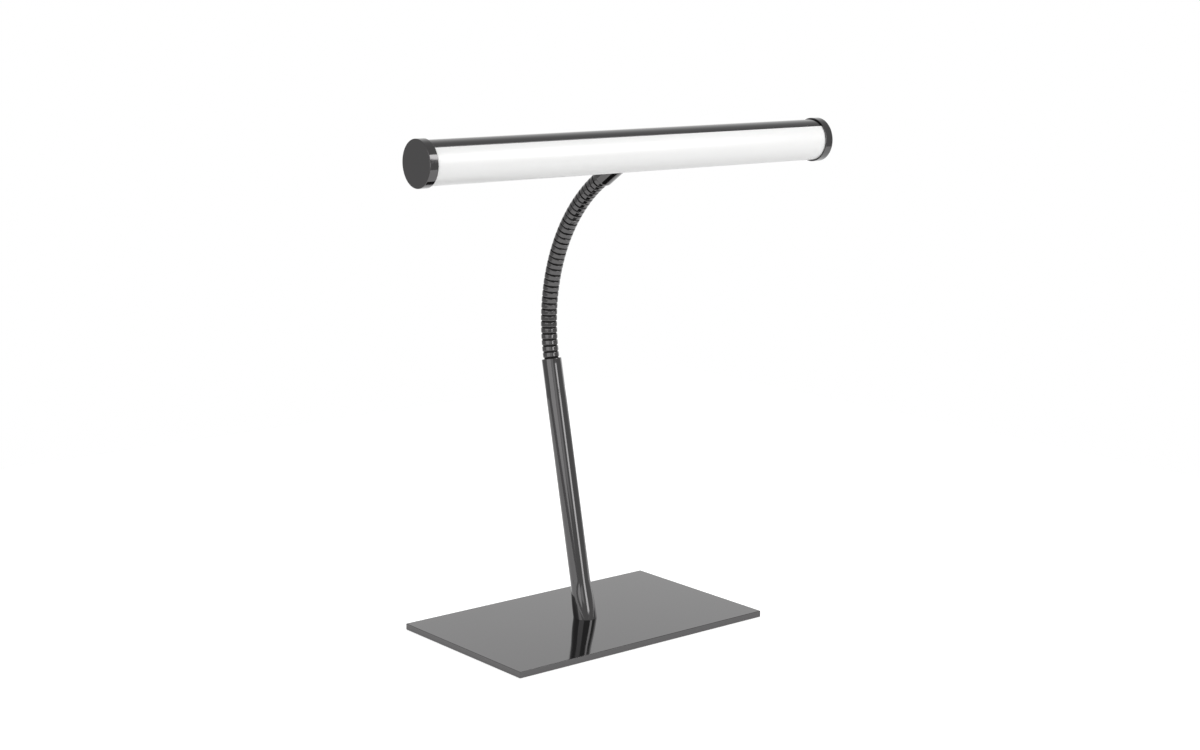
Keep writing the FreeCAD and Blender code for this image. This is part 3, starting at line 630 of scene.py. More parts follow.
class LAMP_OT_foot(bpy.types.Operator):
    """Makes the foot plate, and finishes the felt and the screw under it"""

    bl_idname = "lamp.foot"
    bl_label = "Foot"

    def execute(self, context):
        sizes = context.scene.lamp_foot
        low, high = PLATE_LOW, PLATE_HIGH
        edge = sizes.plate_edge
        x, y = high[0], high[1]
        flat = edge * 3
        height = high[2] - low[2]
        # The rows go up the plate's edge, from under it to its top: (how far in, how far up).
        turn = np.linspace(0, np.pi / 2, 6)
        bend = np.stack([edge * (1 - np.sin(turn)), edge * (1 - np.cos(turn))], axis=1)
        rows = np.concatenate(
            [
                [(flat, 0), (edge * 1.3, 0)],
                bend,
                [(0, edge * 1.3), (0, height - edge * 1.3)],
                (bend * (1, -1) + (0, height))[::-1],
                [(edge * 1.3, height), (flat, height)],
            ]
        )
        corner = softened([(x, y), (-x, y), (-x, -y), (x, -y)], sizes.plate_corner)
        inset = corner - np.sign(corner) * flat
        plan = corner[None, :, :] + (inset - corner)[None, :, :] * (rows[:, 0] / flat)[:, None, None]
        level = np.broadcast_to((low[2] + rows[:, 1])[:, None, None], (*plan.shape[:2], 1))
        mesh = grid_mesh("foot_plate", np.concatenate([plan, level], axis=2), True, False)
        chrome = black_chrome("plate_chrome", (0.12, 1.0, 1.0), hairlines=0.2)
        plate = add_piece("foot_plate", mesh, chrome)
        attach(plate, "foot")
        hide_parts("base_plate")

        finishes = context.scene.lamp_finishes
        finish_node("base_felt", felt_material(finishes.felt))
        blackened = handled_material("blackened_steel", (0.10, 0.10, 0.105), 0.42, 1.0, marks=400.0, bump=0.3)
        finish_node("base_screw", blackened)
        return {"FINISHED"}


def inlet_place(sizes):
    """The frame of the grommet and its hole: the run goes out through the back of the stem."""
    place = Place(STEM.at(sizes.inlet_height), STEM.tilt)
    place.up, place.across = place.across, -place.up
    return place


def foot_height(radius, sine):
    """How far along the leaning stem its skin meets the plate: h cos(lean) + r sin(a) sin(lean) = 0."""
    return -radius * sine * np.tan(STEM.tilt)


class LAMP_OT_stem(bpy.types.Operator):
    """Makes the stem, a leaning tube whose foot is cut level with the plate"""

    bl_idname = "lamp.stem"
    bl_label = "Stem"

    def execute(self, context):
        sizes = context.scene.lamp_foot
        radius = sizes.stem_diameter / 2
        end = sizes.end_diameter / 2
        bore = radius - sizes.stem_wall
        spread = sizes.flare_diameter / 2 - radius
        flare = sizes.flare_height
        shoulder = sizes.stem_length - sizes.end_length
        round_off = sizes.mouth_round

        # Heights of the outside, from the plate up: the flare, the run, the taper, the mouth.
        # Two rows close together at the plate keep the shading of the stem's foot even.
        close_row, flare_row = 0.00012, 0.0004
        up = np.concatenate([[0, close_row], np.linspace(flare_row, flare, 28)])
        run = np.linspace(flare, shoulder - sizes.end_taper, 24)[1:]
        taper = np.linspace(shoulder - sizes.end_taper, shoulder, 9)[1:]
        top = np.linspace(shoulder, sizes.stem_length - round_off, 6)[1:]
        turn = np.linspace(0, np.pi / 2, 7)[1:]
        heights = np.concatenate([up, run, taper, top, sizes.stem_length - round_off * (1 - np.sin(turn))])
        radii = np.full(len(heights), radius)
        # The flare is a bell: its share of the spread is cos^2(90 degrees (h / H)^1.4).
        radii[: len(up)] = radius + spread * np.cos(np.pi / 2 * (up / flare) ** 1.4) ** 2
        first = len(up) + len(run)
        share_down = (1 - np.cos(np.linspace(0, np.pi, 9)[1:])) / 2
        radii[first : first + len(taper)] = radius + (end - radius) * share_down
        radii[first + len(taper) :] = end
        radii[-len(turn) :] = end - round_off * (1 - np.cos(turn))
        inside = np.linspace(sizes.stem_length, 0, 16)
        heights = np.concatenate([heights, inside])
        radii = np.concatenate([radii, np.full(len(inside), bore)])

        angle = np.linspace(0, 2 * np.pi, 128, endpoint=False)
        cut = foot_height(radii[:, None], np.sin(angle)[None, :])
        # The cut's slope fades out over the flare, so that higher rows are square to the run.
        fade = np.clip(1 - heights / flare, 0, 1)[:, None]
        level = heights[:, None] + cut * fade
        way = np.cos(angle)[:, None] * STEM.side + np.sin(angle)[:, None] * STEM.across
        points = STEM.origin + radii[:, None, None] * way + level[:, :, None] * STEM.up
        mesh = grid_mesh("stem", points, True, True)
        material = black_chrome("stem_chrome", (1.0, 1.0, 0.08))
        stem = add_piece("stem", mesh, material)

        # The hole for the grommet goes through the back wall only.
        drill_start, drill_end = 0.002, 0.012
        drill_outline = [(sizes.inlet_hole / 2, drill_start), (sizes.inlet_hole / 2, drill_end)]
        drill = turned_piece("drill", inlet_place(sizes), drill_outline, material, 48, False)
        cutter = stem.modifiers.new("inlet", "BOOLEAN")
        cutter.operation = "DIFFERENCE"
        cutter.solver = "EXACT"
        cutter.object = drill
        depsgraph = context.evaluated_depsgraph_get()
        drilled = bpy.data.meshes.new_from_object(stem.evaluated_get(depsgraph))
        stem.modifiers.clear()
        stem.data = drilled
        bpy.data.objects.remove(drill)
        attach(stem, "foot")
        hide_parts("stem_tube")
        return {"FINISHED"}


class LAMP_OT_grommet(bpy.types.Operator):
    """Makes the rubber grommet low on the back of the stem"""

    bl_idname = "lamp.grommet"
    bl_label = "Grommet"

    def execute(self, context):
        sizes = context.scene.lamp_foot
        place = inlet_place(sizes)
        eye, collar, flange = 0.0019, 0.0028, 0.0034
        thick = 0.001
        fit = 0.00005
        softening = 0.00012
        # The inner flange's rim lies against the bore B, sqrt(B^2 - F^2) from the stem's middle.
        bore = sizes.stem_diameter / 2 - sizes.stem_wall
        inner = np.sqrt(bore**2 - flange**2) - fit
        outer = sizes.stem_diameter / 2 + fit / 2
        corners = [
            (eye, inner - thick),
            (flange, inner - thick),
            (flange, inner),
            (collar, inner),
            (collar, outer),
            (flange, outer),
            (flange - thick / 2, outer + thick),
            (eye, outer + thick),
        ]
        outline = softened(corners, softening, 4)
        finishes = context.scene.lamp_finishes
        rubber = handled_material("black_rubber", finishes.rubber, 0.62, marks=500.0, grain=4000.0, bump=0.35)
        grommet = turned_piece("grommet", place, outline, rubber, 48)
        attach(grommet, "foot")
        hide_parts("cord_grommet")
        return {"FINISHED"}


def neck_point(turn):
    """The point of the neck's middle line where it has turned this far: an arc that starts along
    the stem, J + R (0, cos(b) - cos(a), sin(b) - sin(a)), from the stem's lean a to b = a + turn."""
    start = STEM.tilt
    now = start + np.asarray(turn, float)
    zero = np.zeros_like(now)
    step = np.stack([zero, np.cos(now) - np.cos(start), np.sin(now) - np.sin(start)], axis=-1)
    return joint_place(0) + NECK_RADIUS * step


def neck_rings(rows, columns):
    """Points round the neck's middle line, M + r (cos a side + sin a across), for each row of
    distance along the neck and radius r. The line is an arc between the first joint and the
    last, and runs straight on beyond them."""
    distance, radius = np.asarray(rows, float).T
    on_arc = np.clip(distance, 0.0, LINKS * CHORD)
    turn = on_arc / CHORD * NECK_TURN / LINKS
    angle = np.linspace(0, 2 * np.pi, columns, endpoint=False)
    tilt = STEM.tilt + turn
    zero = np.zeros_like(tilt)
    across = np.stack([zero, np.cos(tilt), np.sin(tilt)], axis=-1)[:, None, :]
    up = np.stack([zero, -np.sin(tilt), np.cos(tilt)], axis=-1)[:, None, :]
    side = np.array((1.0, 0.0, 0.0))
    way = np.cos(angle)[None, :, None] * side + np.sin(angle)[None, :, None] * across
    beyond = (distance - on_arc)[:, None, None]
    return neck_point(turn)[:, None, :] + way * radius[:, None, None] + up * beyond


def sphere_rows(centre, radius, low, high, steps=10):
    """Rows of a sphere, (c + R sin a, R cos a), from the angle low to the angle high."""
    angle = np.linspace(low, high, steps)
    return np.stack([centre + radius * np.sin(angle), radius * np.cos(angle)], axis=-1)


def ball_rows(centre, sizes):
    """The ball round the joint below a link, from its cut foot up to its neck."""
    radius = sizes.ball / 2
    foot = -np.arcsin(sizes.ball_reach / radius)
    return sphere_rows(centre, radius, foot, np.arcsin(sizes.gap / radius))


def cup_rows(centre, sizes):
    """The cup round the joint above a link, from its lip down to the bore."""
    radius = sizes.ball / 2 + sizes.ball_gap
    lip = -np.arcsin(sizes.gap / radius)
    return sphere_rows(centre, radius, lip, -np.arccos(sizes.bore / 2 / radius), 14)


def bore_rows(high, low, sizes, steps=4):
    """The bore, from the top down."""
    return np.stack([np.linspace(high, low, steps), np.full(steps, sizes.bore / 2)], axis=-1)


def rib_rows(low, high, sizes):
    """The ribs from low to high. A rib stands (1 - |x|^n)^(1/n) of its height over the groove,
    where x goes from -1 to 1 across it."""
    spacing = 0.00015
    distance = np.linspace(low, high, int(round((high - low) / spacing)))
    across = np.abs(2 * np.mod(distance / sizes.pitch, 1.0) - 1) / sizes.rib_share
    rise = (1 - np.clip(across, 0, 1) ** sizes.fullness) ** (1 / sizes.fullness)
    return np.stack([distance, (sizes.groove + (sizes.crest - sizes.groove) * rise) / 2], axis=-1)


class LAMP_OT_gooseneck(bpy.types.Operator):
    """Makes the gooseneck: its tail in the stem, ribbed links with a ball below and a cup above,
    and the last rib at the ferrule"""

    bl_idname = "lamp.gooseneck"
    bl_label = "Gooseneck"

    def add_length(self, name, rows, body, node, sizes, material):
        """One rigid length of the neck, which rides on its body, with painted shade where its ribs are low.
        """
        piece = add_piece(name, grid_mesh(name, neck_rings(rows, sizes.columns), True, True), material)
        rise = np.clip((rows[:, 1] * 2 - sizes.groove) / (sizes.crest - sizes.groove), 0, 1)
        # The painted shade of a groove has faded out at 1 / 1.6 of a rib's height.
        fading = 1.6
        painted_groove_shade = np.clip(1 - rise * fading, 0, 1)
        # The groove attribute holds painted shade: the neck's material darkens the colour where it is high.
        mask = piece.data.attributes.new("groove", "FLOAT", "POINT")
        mask.data.foreach_set("value", np.repeat(painted_groove_shade, sizes.columns).astype(np.float32))
        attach(piece, body)
        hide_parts(node)

    def execute(self, context):
        sizes = context.scene.lamp_neck
        finishes = context.scene.lamp_finishes
        duller = 0.06
        material = neck_material(finishes.black_chrome, finishes.polish + duller)
        tail = sizes.tail_diameter / 2
        outside = np.array([(-sizes.tail_length, tail), (-sizes.gap, tail)])
        cup = cup_rows(0.0, sizes)
        rows = np.concatenate([outside, cup, bore_rows(cup[-1, 0], -sizes.tail_length, sizes)[1:]])
        self.add_length("gooseneck_tail", rows, "foot", "neck_tail", sizes, material)
        for number in range(LINKS):
            low, high = number * CHORD, (number + 1) * CHORD
            cup = cup_rows(high, sizes)
            rows = np.concatenate(
                [
                    ball_rows(low, sizes),
                    rib_rows(low + sizes.gap, high - sizes.gap, sizes),
                    cup,
                    bore_rows(cup[-1, 0], low - sizes.ball_reach, sizes)[1:],
                ]
            )
            name = "gooseneck_link_%02d" % (number + 1)
            body, node = "link_%02d" % (number + 1), "neck_link_%02d" % (number + 1)
            self.add_length(name, rows, body, node, sizes, material)
        low = LINKS * CHORD
        high = low + sizes.gap + sizes.ferrule_start
        ribs = rib_rows(low + sizes.gap, high, sizes)
        rows = np.concatenate([ball_rows(low, sizes), ribs, bore_rows(high, low - sizes.ball_reach, sizes)])
        self.add_length("gooseneck_end", rows, "head", "neck_ferrule", sizes, material)
        return {"FINISHED"}


class LAMP_OT_lead(bpy.types.Operator):
    """Makes the lead inside the gooseneck, in lengths that hang together at the neck's joints"""

    bl_idname = "lamp.lead"
    bl_label = "Lead"

    def execute(self, context):
        sizes = context.scene.lamp_neck
        finishes = context.scene.lamp_finishes
        jacket = handled_material("lead_jacket", finishes.jacket, 0.45, marks=300.0, grain=3000.0, bump=0.2)
        overlap = 0.02
        # A length's round end stops just short of its tip, where a small flat face closes it.
        tip = np.pi / 2 - 0.02
        radius = sizes.lead_diameter / 2
        hollow = radius + sizes.ball_gap
        rim = np.arccos(radius / hollow)
        bodies = [NECK_JOINTS[0]["parent"]] + [joint["child"] for joint in NECK_JOINTS]
        for number, body in enumerate(bodies):
            low, high = (number - 1) * CHORD, number * CHORD
            if number == 0:
                rows = [np.array([(-overlap, radius)])]
            else:
                rows = [sphere_rows(low, hollow, tip, rim)]
            if number == len(bodies) - 1:
                rows.append(np.array([(low + overlap, radius)]))
            else:
                run = np.linspace(rows[0][-1, 0], high, 10)[1:-1]
                rows.append(np.stack([run, np.full(len(run), radius)], axis=-1))
                rows.append(sphere_rows(high, radius, 0.0, tip))
            name = "lead_length_%02d" % number
            points = neck_rings(np.concatenate(rows), 20)
            piece = add_piece(name, grid_mesh(name, points, True, False), jacket)
            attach(piece, body)
            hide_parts("neck_lead")
        for node in ("stem_lead", "head_lead"):
            finish_node(node, jacket)
        return {"FINISHED"}


class LAMP_OT_ferrule(bpy.types.Operator):
    """Makes the sleeve between neck and head, with the nipple that goes into the housing"""

    bl_idname = "lamp.ferrule"
    bl_label = "Ferrule"

    def execute(self, context):
        sizes = context.scene.lamp_neck
        head = context.scene.lamp_head
        outer = sizes.ferrule_diameter / 2
        nipple = sizes.nipple_diameter / 2
        bore = sizes.bore / 2
        low = sizes.gap + sizes.ferrule_start
        edge = sizes.ferrule_round
        reach = np.linalg.norm(FERRULE_RUN)
        # The sleeve sinks a little into the housing and laps over the nipple inside it.
        sink, lap, softening = 0.00005, 0.0003, 0.0002
        tube = head.tube_diameter / 2 - sink
        angle = np.linspace(0, 2 * np.pi, 128, endpoint=False)
        way = np.cos(angle)[:, None] * FERRULE.side + np.sin(angle)[:, None] * FERRULE.across

        def saddle(radius):
            """Where the sleeve meets the head's tube: s = d - sqrt(R^2 - (r sin a)^2)."""
            return reach - np.sqrt(tube**2 - (radius * np.sin(angle)) ** 2)

        turn = np.linspace(np.pi / 2, 0, 8)
        radii = np.concatenate([[outer - edge * 1.3], outer - edge * (1 - np.cos(turn)), np.full(16, outer)])
        up = np.linspace(0, 1, 17)[1:]
        body = (low + edge) + (saddle(outer)[None, :] - low - edge) * up[:, None]
        foot = np.concatenate([[low], low + edge * (1 - np.sin(turn))])
        levels = np.concatenate([np.broadcast_to(foot[:, None], (len(foot), len(angle))), body])
        back = np.full(2, nipple - lap)
        back_levels = np.stack([saddle(nipple), np.full(len(angle), low)])
        radii = np.concatenate([radii, back])
        levels = np.concatenate([levels, back_levels])
        sleeve = FERRULE.origin + radii[:, None, None] * way + levels[:, :, None] * FERRULE.up
        top = sizes.nipple_end
        tube_outline = softened([(bore, low), (nipple, low), (nipple, top), (bore, top)], softening, 3)
        inner = turned(FERRULE, tube_outline, len(angle))
        first = blocks(len(sleeve), len(angle), True, True)
        second = blocks(len(inner), len(angle), True, True) + sleeve.shape[0] * sleeve.shape[1]
        points = np.concatenate([sleeve, inner])
        mesh = make_mesh("ferrule", points, np.concatenate([first, second]))
        piece = add_piece("ferrule", mesh, black_chrome("ferrule_chrome", (1.0, 0.5, 0.5)))
        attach(piece, "head")
        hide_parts("neck_ferrule")
        return {"FINISHED"}


def round_head(angle, radius):
    """Points round the head's middle, (-R sin a, R cos a), at angles from the top to the front."""
    return np.stack([-np.sin(angle), np.cos(angle)], axis=1) * radius


def tube_arc(radius, start, end, count):
    """Points of an arc round the head's middle, evenly spaced from one angle to another."""
    return round_head(np.linspace(start, end, count), radius)


def along_head(outline, half, columns):
    """The outline, (y, z) round the head's middle, carried along the head from -half to half. A
    column close to each end keeps the shading beside it flat."""
    guard = 0.0005
    near = half - guard
    x = np.concatenate([[-half], np.linspace(-near, near, columns - 2), [half]])
    points = np.zeros((len(outline), columns, 3))
    points[:, :, 0] = x
    points[:, :, 1:] = (outline + HEAD_CENTRE[1:])[:, None, :]
    return points


class LAMP_OT_housing(bpy.types.Operator):
    """Makes the metal back of the head, an open tube with a ledge inside each edge"""

    bl_idname = "lamp.housing"
    bl_label = "Housing"

    def execute(self, context):
        sizes = context.scene.lamp_head
        radius = sizes.tube_diameter / 2
        inner = radius - sizes.wall
        first = sizes.front_edge
        last = sizes.front_edge - sizes.span
        half = HEAD_HALF - sizes.cap_face
        lip = 0.0003
        lip_angle = lip / radius
        turn = np.linspace(0, np.pi / 2, 5)
        # The outside runs from the upper front edge over the back to the lower front edge.
        outside = tube_arc(radius, first - lip_angle, last + lip_angle, 160)
        drop = (radius - lip * (1 - np.cos(turn)))[:, None]
        lip_up = round_head(first - lip_angle * (1 - np.sin(turn)), drop)
        lip_down = round_head(last + lip_angle * (1 - np.sin(turn)), drop)
        ledge = inner - sizes.ledge_width
        ledge_angle = sizes.ledge_thickness / inner
        inside = np.concatenate(
            [
                tube_arc(ledge, last, last, 1),
                tube_arc(ledge, last + ledge_angle, last + ledge_angle, 1),
                tube_arc(inner, last + ledge_angle * 1.05, first - ledge_angle * 1.05, 90),
                tube_arc(ledge, first - ledge_angle, first - ledge_angle, 1),
                tube_arc(ledge, first, first, 1),
            ]
        )
        outline = np.concatenate([lip_up[1:][::-1], outside, lip_down[1:], inside])[::-1]
        mesh = bar_mesh("housing", along_head(outline, half, 40))
        material = black_chrome("housing_chrome", (0.05, 1.0, 1.0))
        piece = add_piece("housing", mesh, material)
        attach(piece, "head")
        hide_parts("head_housing")
        return {"FINISHED"}


class LAMP_OT_cover(bpy.types.Operator):
    """Makes the opal cover, whose tongues lie inside the housing's edges"""

    bl_idname = "lamp.cover"
    bl_label = "Opal Cover"

    def execute(self, context):
        sizes = context.scene.lamp_head
        outer = sizes.tube_diameter / 2 - sizes.cover_step
        # The tongues' gap to the housing, their wall, and how far from the middle plane they end.
        play, tongue_wall, tongue_end = 0.00015, 0.0009, 0.00155
        # How far down the outer edges are rounded, all the way and at their first step.
        rounding, first_step = 0.00025, 0.00007
        tongue = sizes.tube_diameter / 2 - sizes.wall - play
        inner = tongue - tongue_wall
        half = HEAD_HALF - sizes.cap_face
        open_half = (2 * np.pi - sizes.span) / 2
        middle_angle = sizes.front_edge + open_half
        reach = open_half - sizes.seam
        tongue_reach = np.arccos(tongue_end / inner)
        lip = rounding / outer
        start, end = middle_angle - reach, middle_angle + reach
        outline = np.concatenate(
            [
                tube_arc(tongue, middle_angle - tongue_reach, start, 6),
                tube_arc(outer - rounding, start, start, 1),
                tube_arc(outer - first_step, start + lip * 0.3, start + lip * 0.3, 1),
                tube_arc(outer, start + lip, end - lip, 140),
                tube_arc(outer - first_step, end - lip * 0.3, end - lip * 0.3, 1),
                tube_arc(outer - rounding, end, end, 1),
                tube_arc(tongue, end, middle_angle + tongue_reach, 6),
                tube_arc(inner, middle_angle + tongue_reach, middle_angle - tongue_reach, 110),
            ]
        )
        mesh = bar_mesh("opal_tube", along_head(outline, half, 40))
        finishes = context.scene.lamp_finishes
        piece = add_piece("opal_tube", mesh, opal_material(finishes.opal))
        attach(piece, "head")
        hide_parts("opal_cover")
        return {"FINISHED"}


def cap_place(side):
    """The frame of an end cap: its run goes outwards along the head, side is -1 or 1."""
    place = Place(HEAD_CENTRE + np.array((HEAD_HALF * side, 0, 0)), 0.0)
    place.up = np.array((float(side), 0.0, 0.0))
    place.side = np.array((0.0, 0.0, 1.0))
    place.across = np.cross(place.up, place.side)
    return place


def button_way(sizes):
    """From the middle of the cap to the push button's: away from where the head shines."""
    tilt = sizes.front_edge + (2 * np.pi - sizes.span) / 2
    return -sizes.button_depth * np.array((0.0, -np.sin(tilt), np.cos(tilt)))


class LAMP_OT_caps(bpy.types.Operator):
    """Makes the two end caps, the right-hand one with a hole for the push button"""

    bl_idname = "lamp.caps"
    bl_label = "End Caps"

    def execute(self, context):
        sizes = context.scene.lamp_head
        material = black_chrome("cap_chrome", (1.0, 0.4, 0.4), hairlines=0.5)
        self.cap("left_cap", "cap_left", cap_place(-1), sizes, material)
        self.cap("right_cap", "cap_right", cap_place(1), sizes, material, button_way(sizes))
        return {"FINISHED"}

    def cap(self, name, node, place, sizes, material, hole=None):
        """A cup over the tube's end. Its face is a flat sheet, or runs out to the rim from a hole
        whose middle lies off the cap's own: the rows near the hole are moved onto it."""
        rim = sizes.cap_diameter / 2
        tube_fit, button_play = 0.00005, 0.0003
        inside = sizes.tube_diameter / 2 + tube_fit
        deep, face, edge = sizes.cap_length, sizes.cap_face, sizes.cap_edge
        eye = sizes.button_diameter / 2 + button_play
        corners = [(eye, 0), (rim, 0), (rim, -deep), (inside, -deep), (inside, -face), (eye, -face)]
        outline = softened(corners, [edge / 2, edge, edge / 2, edge / 2, edge / 4, edge / 4], 6)[::-1]
        if hole is None:
            outline = outline[outline[:, 0] > eye + edge * 0.6]
        points = turned(place, outline, 160)
        if hole is not None:
            points[outline[:, 0] < eye + edge] += hole
        piece = add_piece(name, grid_mesh(name, points, True, hole is not None), material)
        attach(piece, "head")
        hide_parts(node)


class LAMP_OT_button(bpy.types.Operator):
    """Makes the push button in the right-hand cap"""

    bl_idname = "lamp.button"
    bl_label = "Push Button"

    def execute(self, context):
        sizes = context.scene.lamp_head
        place = cap_place(1)
        place.origin = place.origin + button_way(sizes)
        radius = sizes.button_diameter / 2
        top = sizes.button_stand
        # Behind the cap's face a flange holds the button in; its foot works the switch.
        foot, flange = -0.0056, 0.0045
        under, over = -0.0031, -0.0021
        edge, hollow = 0.0006, 0.00015
        stalk = [(radius * 0.5, foot), (radius, foot), (radius, under)]
        collar = [(flange, under), (flange, over), (radius, over)]
        turn = np.linspace(0, np.pi / 2, 8)
        dish = np.linspace(1, 0.12, 9)
        outline = np.concatenate(
            [
                stalk,
                collar,
                np.stack([radius - edge * (1 - np.cos(turn)), top - edge * (1 - np.sin(turn))], axis=1),
                np.stack([(radius - edge * 1.3) * dish, top - hollow * (1 - dish**2)], axis=1),
            ]
        )
        gloss = handled_material(
            "button_plastic", (0.035, 0.035, 0.038), 0.28, marks=300.0, grain=2500.0, bump=0.1
        )
        piece = turned_piece("push_button", place, outline, gloss, 64, False)
        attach(piece, "button")
        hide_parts("switch_button")
        return {"FINISHED"}


class LAMP_OT_inside(bpy.types.Operator):
    """Finishes the pieces inside the stem and the head"""

    bl_idname = "lamp.inside"
    bl_label = "Inner Pieces"

    def execute(self, context):
        zinc = context.scene.lamp_finishes.zinc
        plated = handled_material("zinc_plate", zinc, 0.34, 1.0, 0.2, 0.2, marks=180.0, bump=0.25)
        milled = handled_material(
            "milled_aluminium", (0.78, 0.78, 0.79), 0.38, 1.0, 0.05, 0.12, marks=30.0, bump=0.3
        )
        satin = handled_material("satin_can", (0.70, 0.70, 0.72), 0.30, 1.0, 0.06, 0.1, marks=150.0, bump=0.1)
        nylon = handled_material("white_nylon", (0.80, 0.80, 0.76), 0.48, marks=250.0, bump=0.2)
        socket = handled_material("cream_plastic", (0.82, 0.81, 0.76), 0.40, marks=200.0, bump=0.2)
        tape = handled_material("thermal_tape", (0.58, 0.60, 0.64), 0.70, marks=120.0, bump=0.4)
        white = handled_material("white_board", (0.88, 0.88, 0.86), 0.35, marks=90.0, bump=0.15, coat=0.2)
        green = handled_material(
            "green_board", (0.02, 0.20, 0.07), 0.32, tint=0.2, marks=160.0, bump=0.15, coat=0.3
        )
        phosphor = handled_material(
            "led_phosphor", (0.93, 0.80, 0.30), 0.25, tint=0.08, marks=400.0, bump=0.1
        )
        moulded = handled_material("black_moulding", (0.03, 0.03, 0.032), 0.50, marks=300.0, bump=0.4)
        red = handled_material("red_wire", (0.45, 0.03, 0.03), 0.42, tint=0.1, marks=400.0, bump=0.2)
        finish = {
            plated: ("stem_plug", "saddle_washer", "ferrule_nut"),
            milled: ("led_carrier",),
            satin: ("driver_capacitor",),
            nylon: ("driver_spacers", "lead_clip"),
            socket: ("lead_connector", "driver_terminal"),
            tape: ("board_tape",),
            white: ("led_board",),
            green: ("driver_board",),
            phosphor: ("leds",),
            moulded: ("driver_coil", "driver_chip", "switch_body"),
            red: ("led_wires", "switch_wires"),
        }
        for material, names in finish.items():
            for name in names:
                finish_node(name, material)
        return {"FINISHED"}


# The studio.


def seen_directly(tree):
    """1 for rays from the camera, and for what metal and glass show of the room."""
    path = add_node(tree, "ShaderNodeLightPath").outputs
    either = math_node(tree, "MAXIMUM", path["Is Camera Ray"], path["Is Glossy Ray"])
    return math_node(tree, "MAXIMUM", either, path["Is Transmission Ray"])


def add_panel(name, azimuth, distance, low, high, width, radiance, diffuse=True, gloss=True):
    """A soft panel light. Azimuth is in degrees from +Y towards +X, and radiance is what a
    mirror shows: power = pi * area * radiance. It may light only matt or only glossy surfaces."""
    lamp = bpy.data.lights.new(name, "AREA")
    lamp.shape = "RECTANGLE"
    lamp.size = width
    lamp.size_y = high - low
    lamp.energy = np.pi * width * (high - low) * radiance
    panel = bpy.data.objects.new(name, lamp)
    bpy.context.scene.collection.objects.link(panel)
    angle = np.radians(azimuth)
    panel.location = (np.sin(angle) * distance, np.cos(angle) * distance, (low + high) / 2)
    # The light shines along its own -Z, here level and back to the lamp.
    panel.rotation_euler = (np.pi / 2, 0.0, np.pi - angle)
    panel.visible_camera = False
    panel.visible_diffuse = diffuse
    panel.visible_glossy = gloss


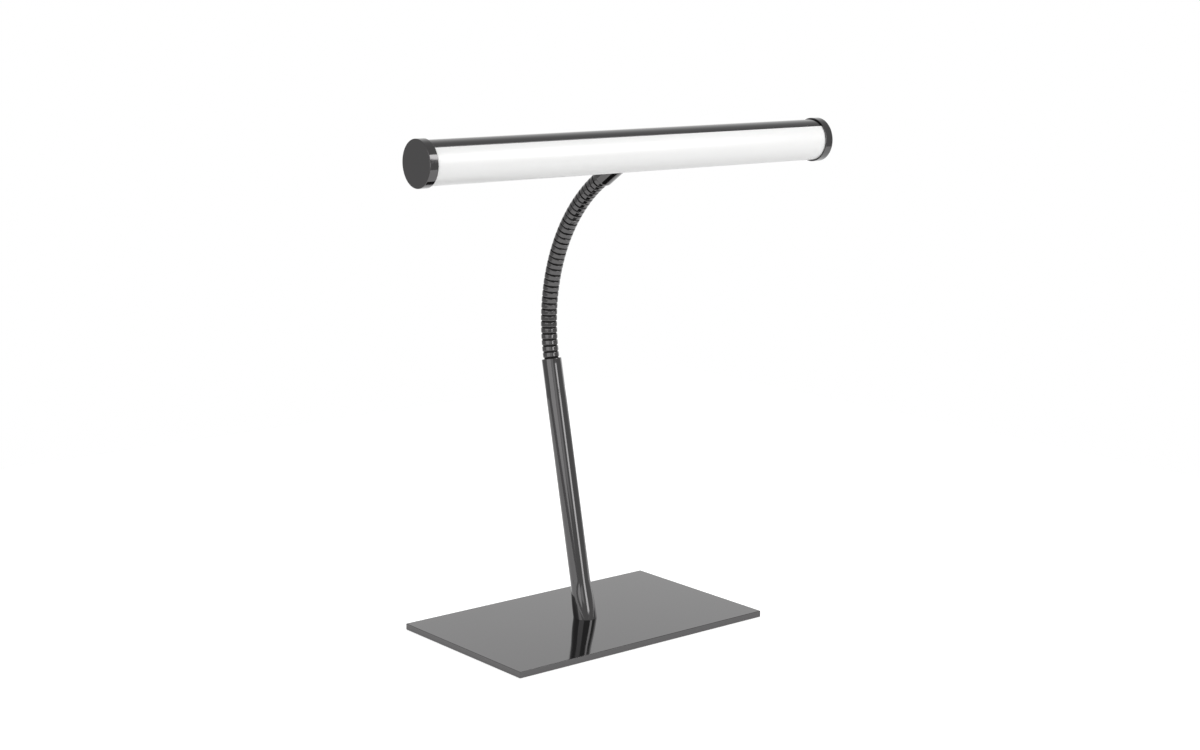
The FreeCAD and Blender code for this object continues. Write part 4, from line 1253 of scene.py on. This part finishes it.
class LAMP_OT_studio(bpy.types.Operator):
    """Makes the pale floor, the white room, the soft lights and the camera"""

    bl_idname = "lamp.studio"
    bl_label = "Studio"

    def execute(self, context):
        scene = context.scene
        studio = scene.lamp_studio
        self.floor(studio)
        self.room(scene, studio)
        self.lights()
        camera_data = bpy.data.cameras.new("camera")
        camera_data.lens = studio.focal_length
        camera_data.sensor_width = 36.0
        camera_data.clip_end = 50.0
        camera = bpy.data.objects.new("camera", camera_data)
        scene.collection.objects.link(camera)
        camera.location = studio.camera_place
        camera.rotation_euler = studio.camera_turn
        scene.camera = camera
        scene.view_settings.view_transform = "Standard"
        return {"FINISHED"}

    def floor(self, studio):
        """The floor, a level sheet under the lamp."""
        half, rows = 0.8, 5
        x = np.linspace(-half, half, rows)
        points = np.zeros((rows, rows, 3))
        points[:, :, 0] = x[None, :]
        points[:, :, 1] = x[:, None]
        mesh = make_mesh("floor", points, blocks(rows, rows, False, False))
        material = bpy.data.materials.new("white_floor")
        material.use_nodes = True
        tree = material.node_tree
        tree.nodes.clear()
        diffuse = add_node(tree, "ShaderNodeBsdfDiffuse", {"Color": (0.75, 0.75, 0.75, 1)})
        glow = add_node(tree, "ShaderNodeEmission", {"Color": (1, 1, 1, 1)})
        strength = math_node(tree, "MULTIPLY", seen_directly(tree), studio.floor_glow)
        tree.links.new(strength, glow.inputs["Strength"])
        both = add_node(tree, "ShaderNodeAddShader", {0: diffuse.outputs[0], 1: glow.outputs[0]})
        add_node(tree, "ShaderNodeOutputMaterial", {"Surface": both.outputs[0]})
        add_piece("floor", mesh, material)

    def room(self, scene, studio):
        """A white room: seen as white, and lighting the lamp softly from all round. Metal sees
        its backdrop, behind the lamp, as white and its sides darker."""
        world = bpy.data.worlds.new("white_room")
        world.use_nodes = True
        tree = world.node_tree
        tree.nodes.clear()
        path = add_node(tree, "ShaderNodeLightPath").outputs
        view = add_node(tree, "ShaderNodeTexCoord").outputs["Generated"]
        stand = np.array(studio.camera_place[:2])
        backwards = (*(-stand / np.linalg.norm(stand)), 0.0)
        facing = add_node(tree, "ShaderNodeVectorMath", {0: view, 1: backwards}, operation="DOT_PRODUCT")
        # The cosines, from straight behind the lamp, where the sides end and the backdrop begins.
        side_end, backdrop_start = 0.55, 0.9
        shades = {
            "Value": facing.outputs["Value"],
            "From Min": side_end,
            "From Max": backdrop_start,
            "To Min": studio.room_shade,
            "To Max": 1.0,
        }
        ramp = add_node(tree, "ShaderNodeMapRange", shades, interpolation_type="SMOOTHSTEP")
        backdrop = ramp.outputs["Result"]
        seen = math_node(tree, "MAXIMUM", path["Is Camera Ray"], path["Is Transmission Ray"])
        shine = math_node(tree, "MULTIPLY", path["Is Glossy Ray"], backdrop)
        direct = math_node(tree, "MAXIMUM", seen, path["Is Glossy Ray"])
        rest = math_node(tree, "MULTIPLY", math_node(tree, "SUBTRACT", 1.0, direct), studio.room_light)
        strength = math_node(tree, "ADD", math_node(tree, "MAXIMUM", seen, shine), rest)
        light = add_node(tree, "ShaderNodeBackground", {"Color": (1, 1, 1, 1), "Strength": strength})
        add_node(tree, "ShaderNodeOutputWorld", {"Surface": light.outputs[0]})
        scene.world = world

    def lights(self):
        """Soft panels round the lamp."""
        add_panel("key_panel", 152.0, 1.21, 0.42, 1.28, 0.50, 5.4, gloss=False)
        add_panel("near_panel", 150.0, 0.60, 0.41, 0.83, 0.27, 4.8, diffuse=False)
        add_panel("left_panel", -104.0, 1.20, 0.09, 1.30, 1.10, 1.2)
        add_panel("front_left_panel", -143.0, 1.20, 0.20, 0.80, 0.48, 0.6)
        add_panel("front_strip", 175.0, 1.25, 0.13, 0.47, 0.40, 3.4, diffuse=False)
        add_panel("right_panel", 82.0, 1.25, 0.10, 1.10, 0.55, 0.9)


# The panel and its registration.


PIECES = (
    LAMP_OT_foot,
    LAMP_OT_stem,
    LAMP_OT_grommet,
    LAMP_OT_gooseneck,
    LAMP_OT_lead,
    LAMP_OT_ferrule,
    LAMP_OT_housing,
    LAMP_OT_cover,
    LAMP_OT_caps,
    LAMP_OT_button,
    LAMP_OT_inside,
    LAMP_OT_studio,
)


class LAMP_PT_panel(bpy.types.Panel):
    """The lamp's sizes, finishes and pieces"""

    bl_label = "Piano Lamp"
    bl_idname = "LAMP_PT_panel"
    bl_space_type = "VIEW_3D"
    bl_region_type = "UI"
    bl_category = "Piano Lamp"

    def draw(self, context):
        layout = self.layout
        for group in ("lamp_foot", "lamp_neck", "lamp_head", "lamp_finishes", "lamp_studio"):
            settings = getattr(context.scene, group)
            box = layout.box()
            for name in settings.__annotations__:
                box.prop(settings, name)
        column = layout.column(align=True)
        for piece in PIECES:
            column.operator(piece.bl_idname)


GROUPS = {
    "lamp_foot": FootSizes,
    "lamp_neck": NeckSizes,
    "lamp_head": HeadSizes,
    "lamp_finishes": Finishes,
    "lamp_studio": Studio,
}
CLASSES = (*GROUPS.values(), *PIECES, LAMP_PT_panel)


def register():
    """Registers the classes and hangs the settings on the scene."""
    for entry in CLASSES:
        bpy.utils.register_class(entry)
    for name, group in GROUPS.items():
        setattr(bpy.types.Scene, name, PointerProperty(type=group))


def unregister():
    """Takes the settings and the classes away again."""
    for name in GROUPS:
        delattr(bpy.types.Scene, name)
    for entry in reversed(CLASSES):
        bpy.utils.unregister_class(entry)


def main():
    """Makes every piece and the studio."""
    register()
    for piece in PIECES:
        category, name = piece.bl_idname.split(".")
        getattr(getattr(bpy.ops, category), name)()
    bpy.context.view_layer.update()


if __name__ == "__main__":
    main()
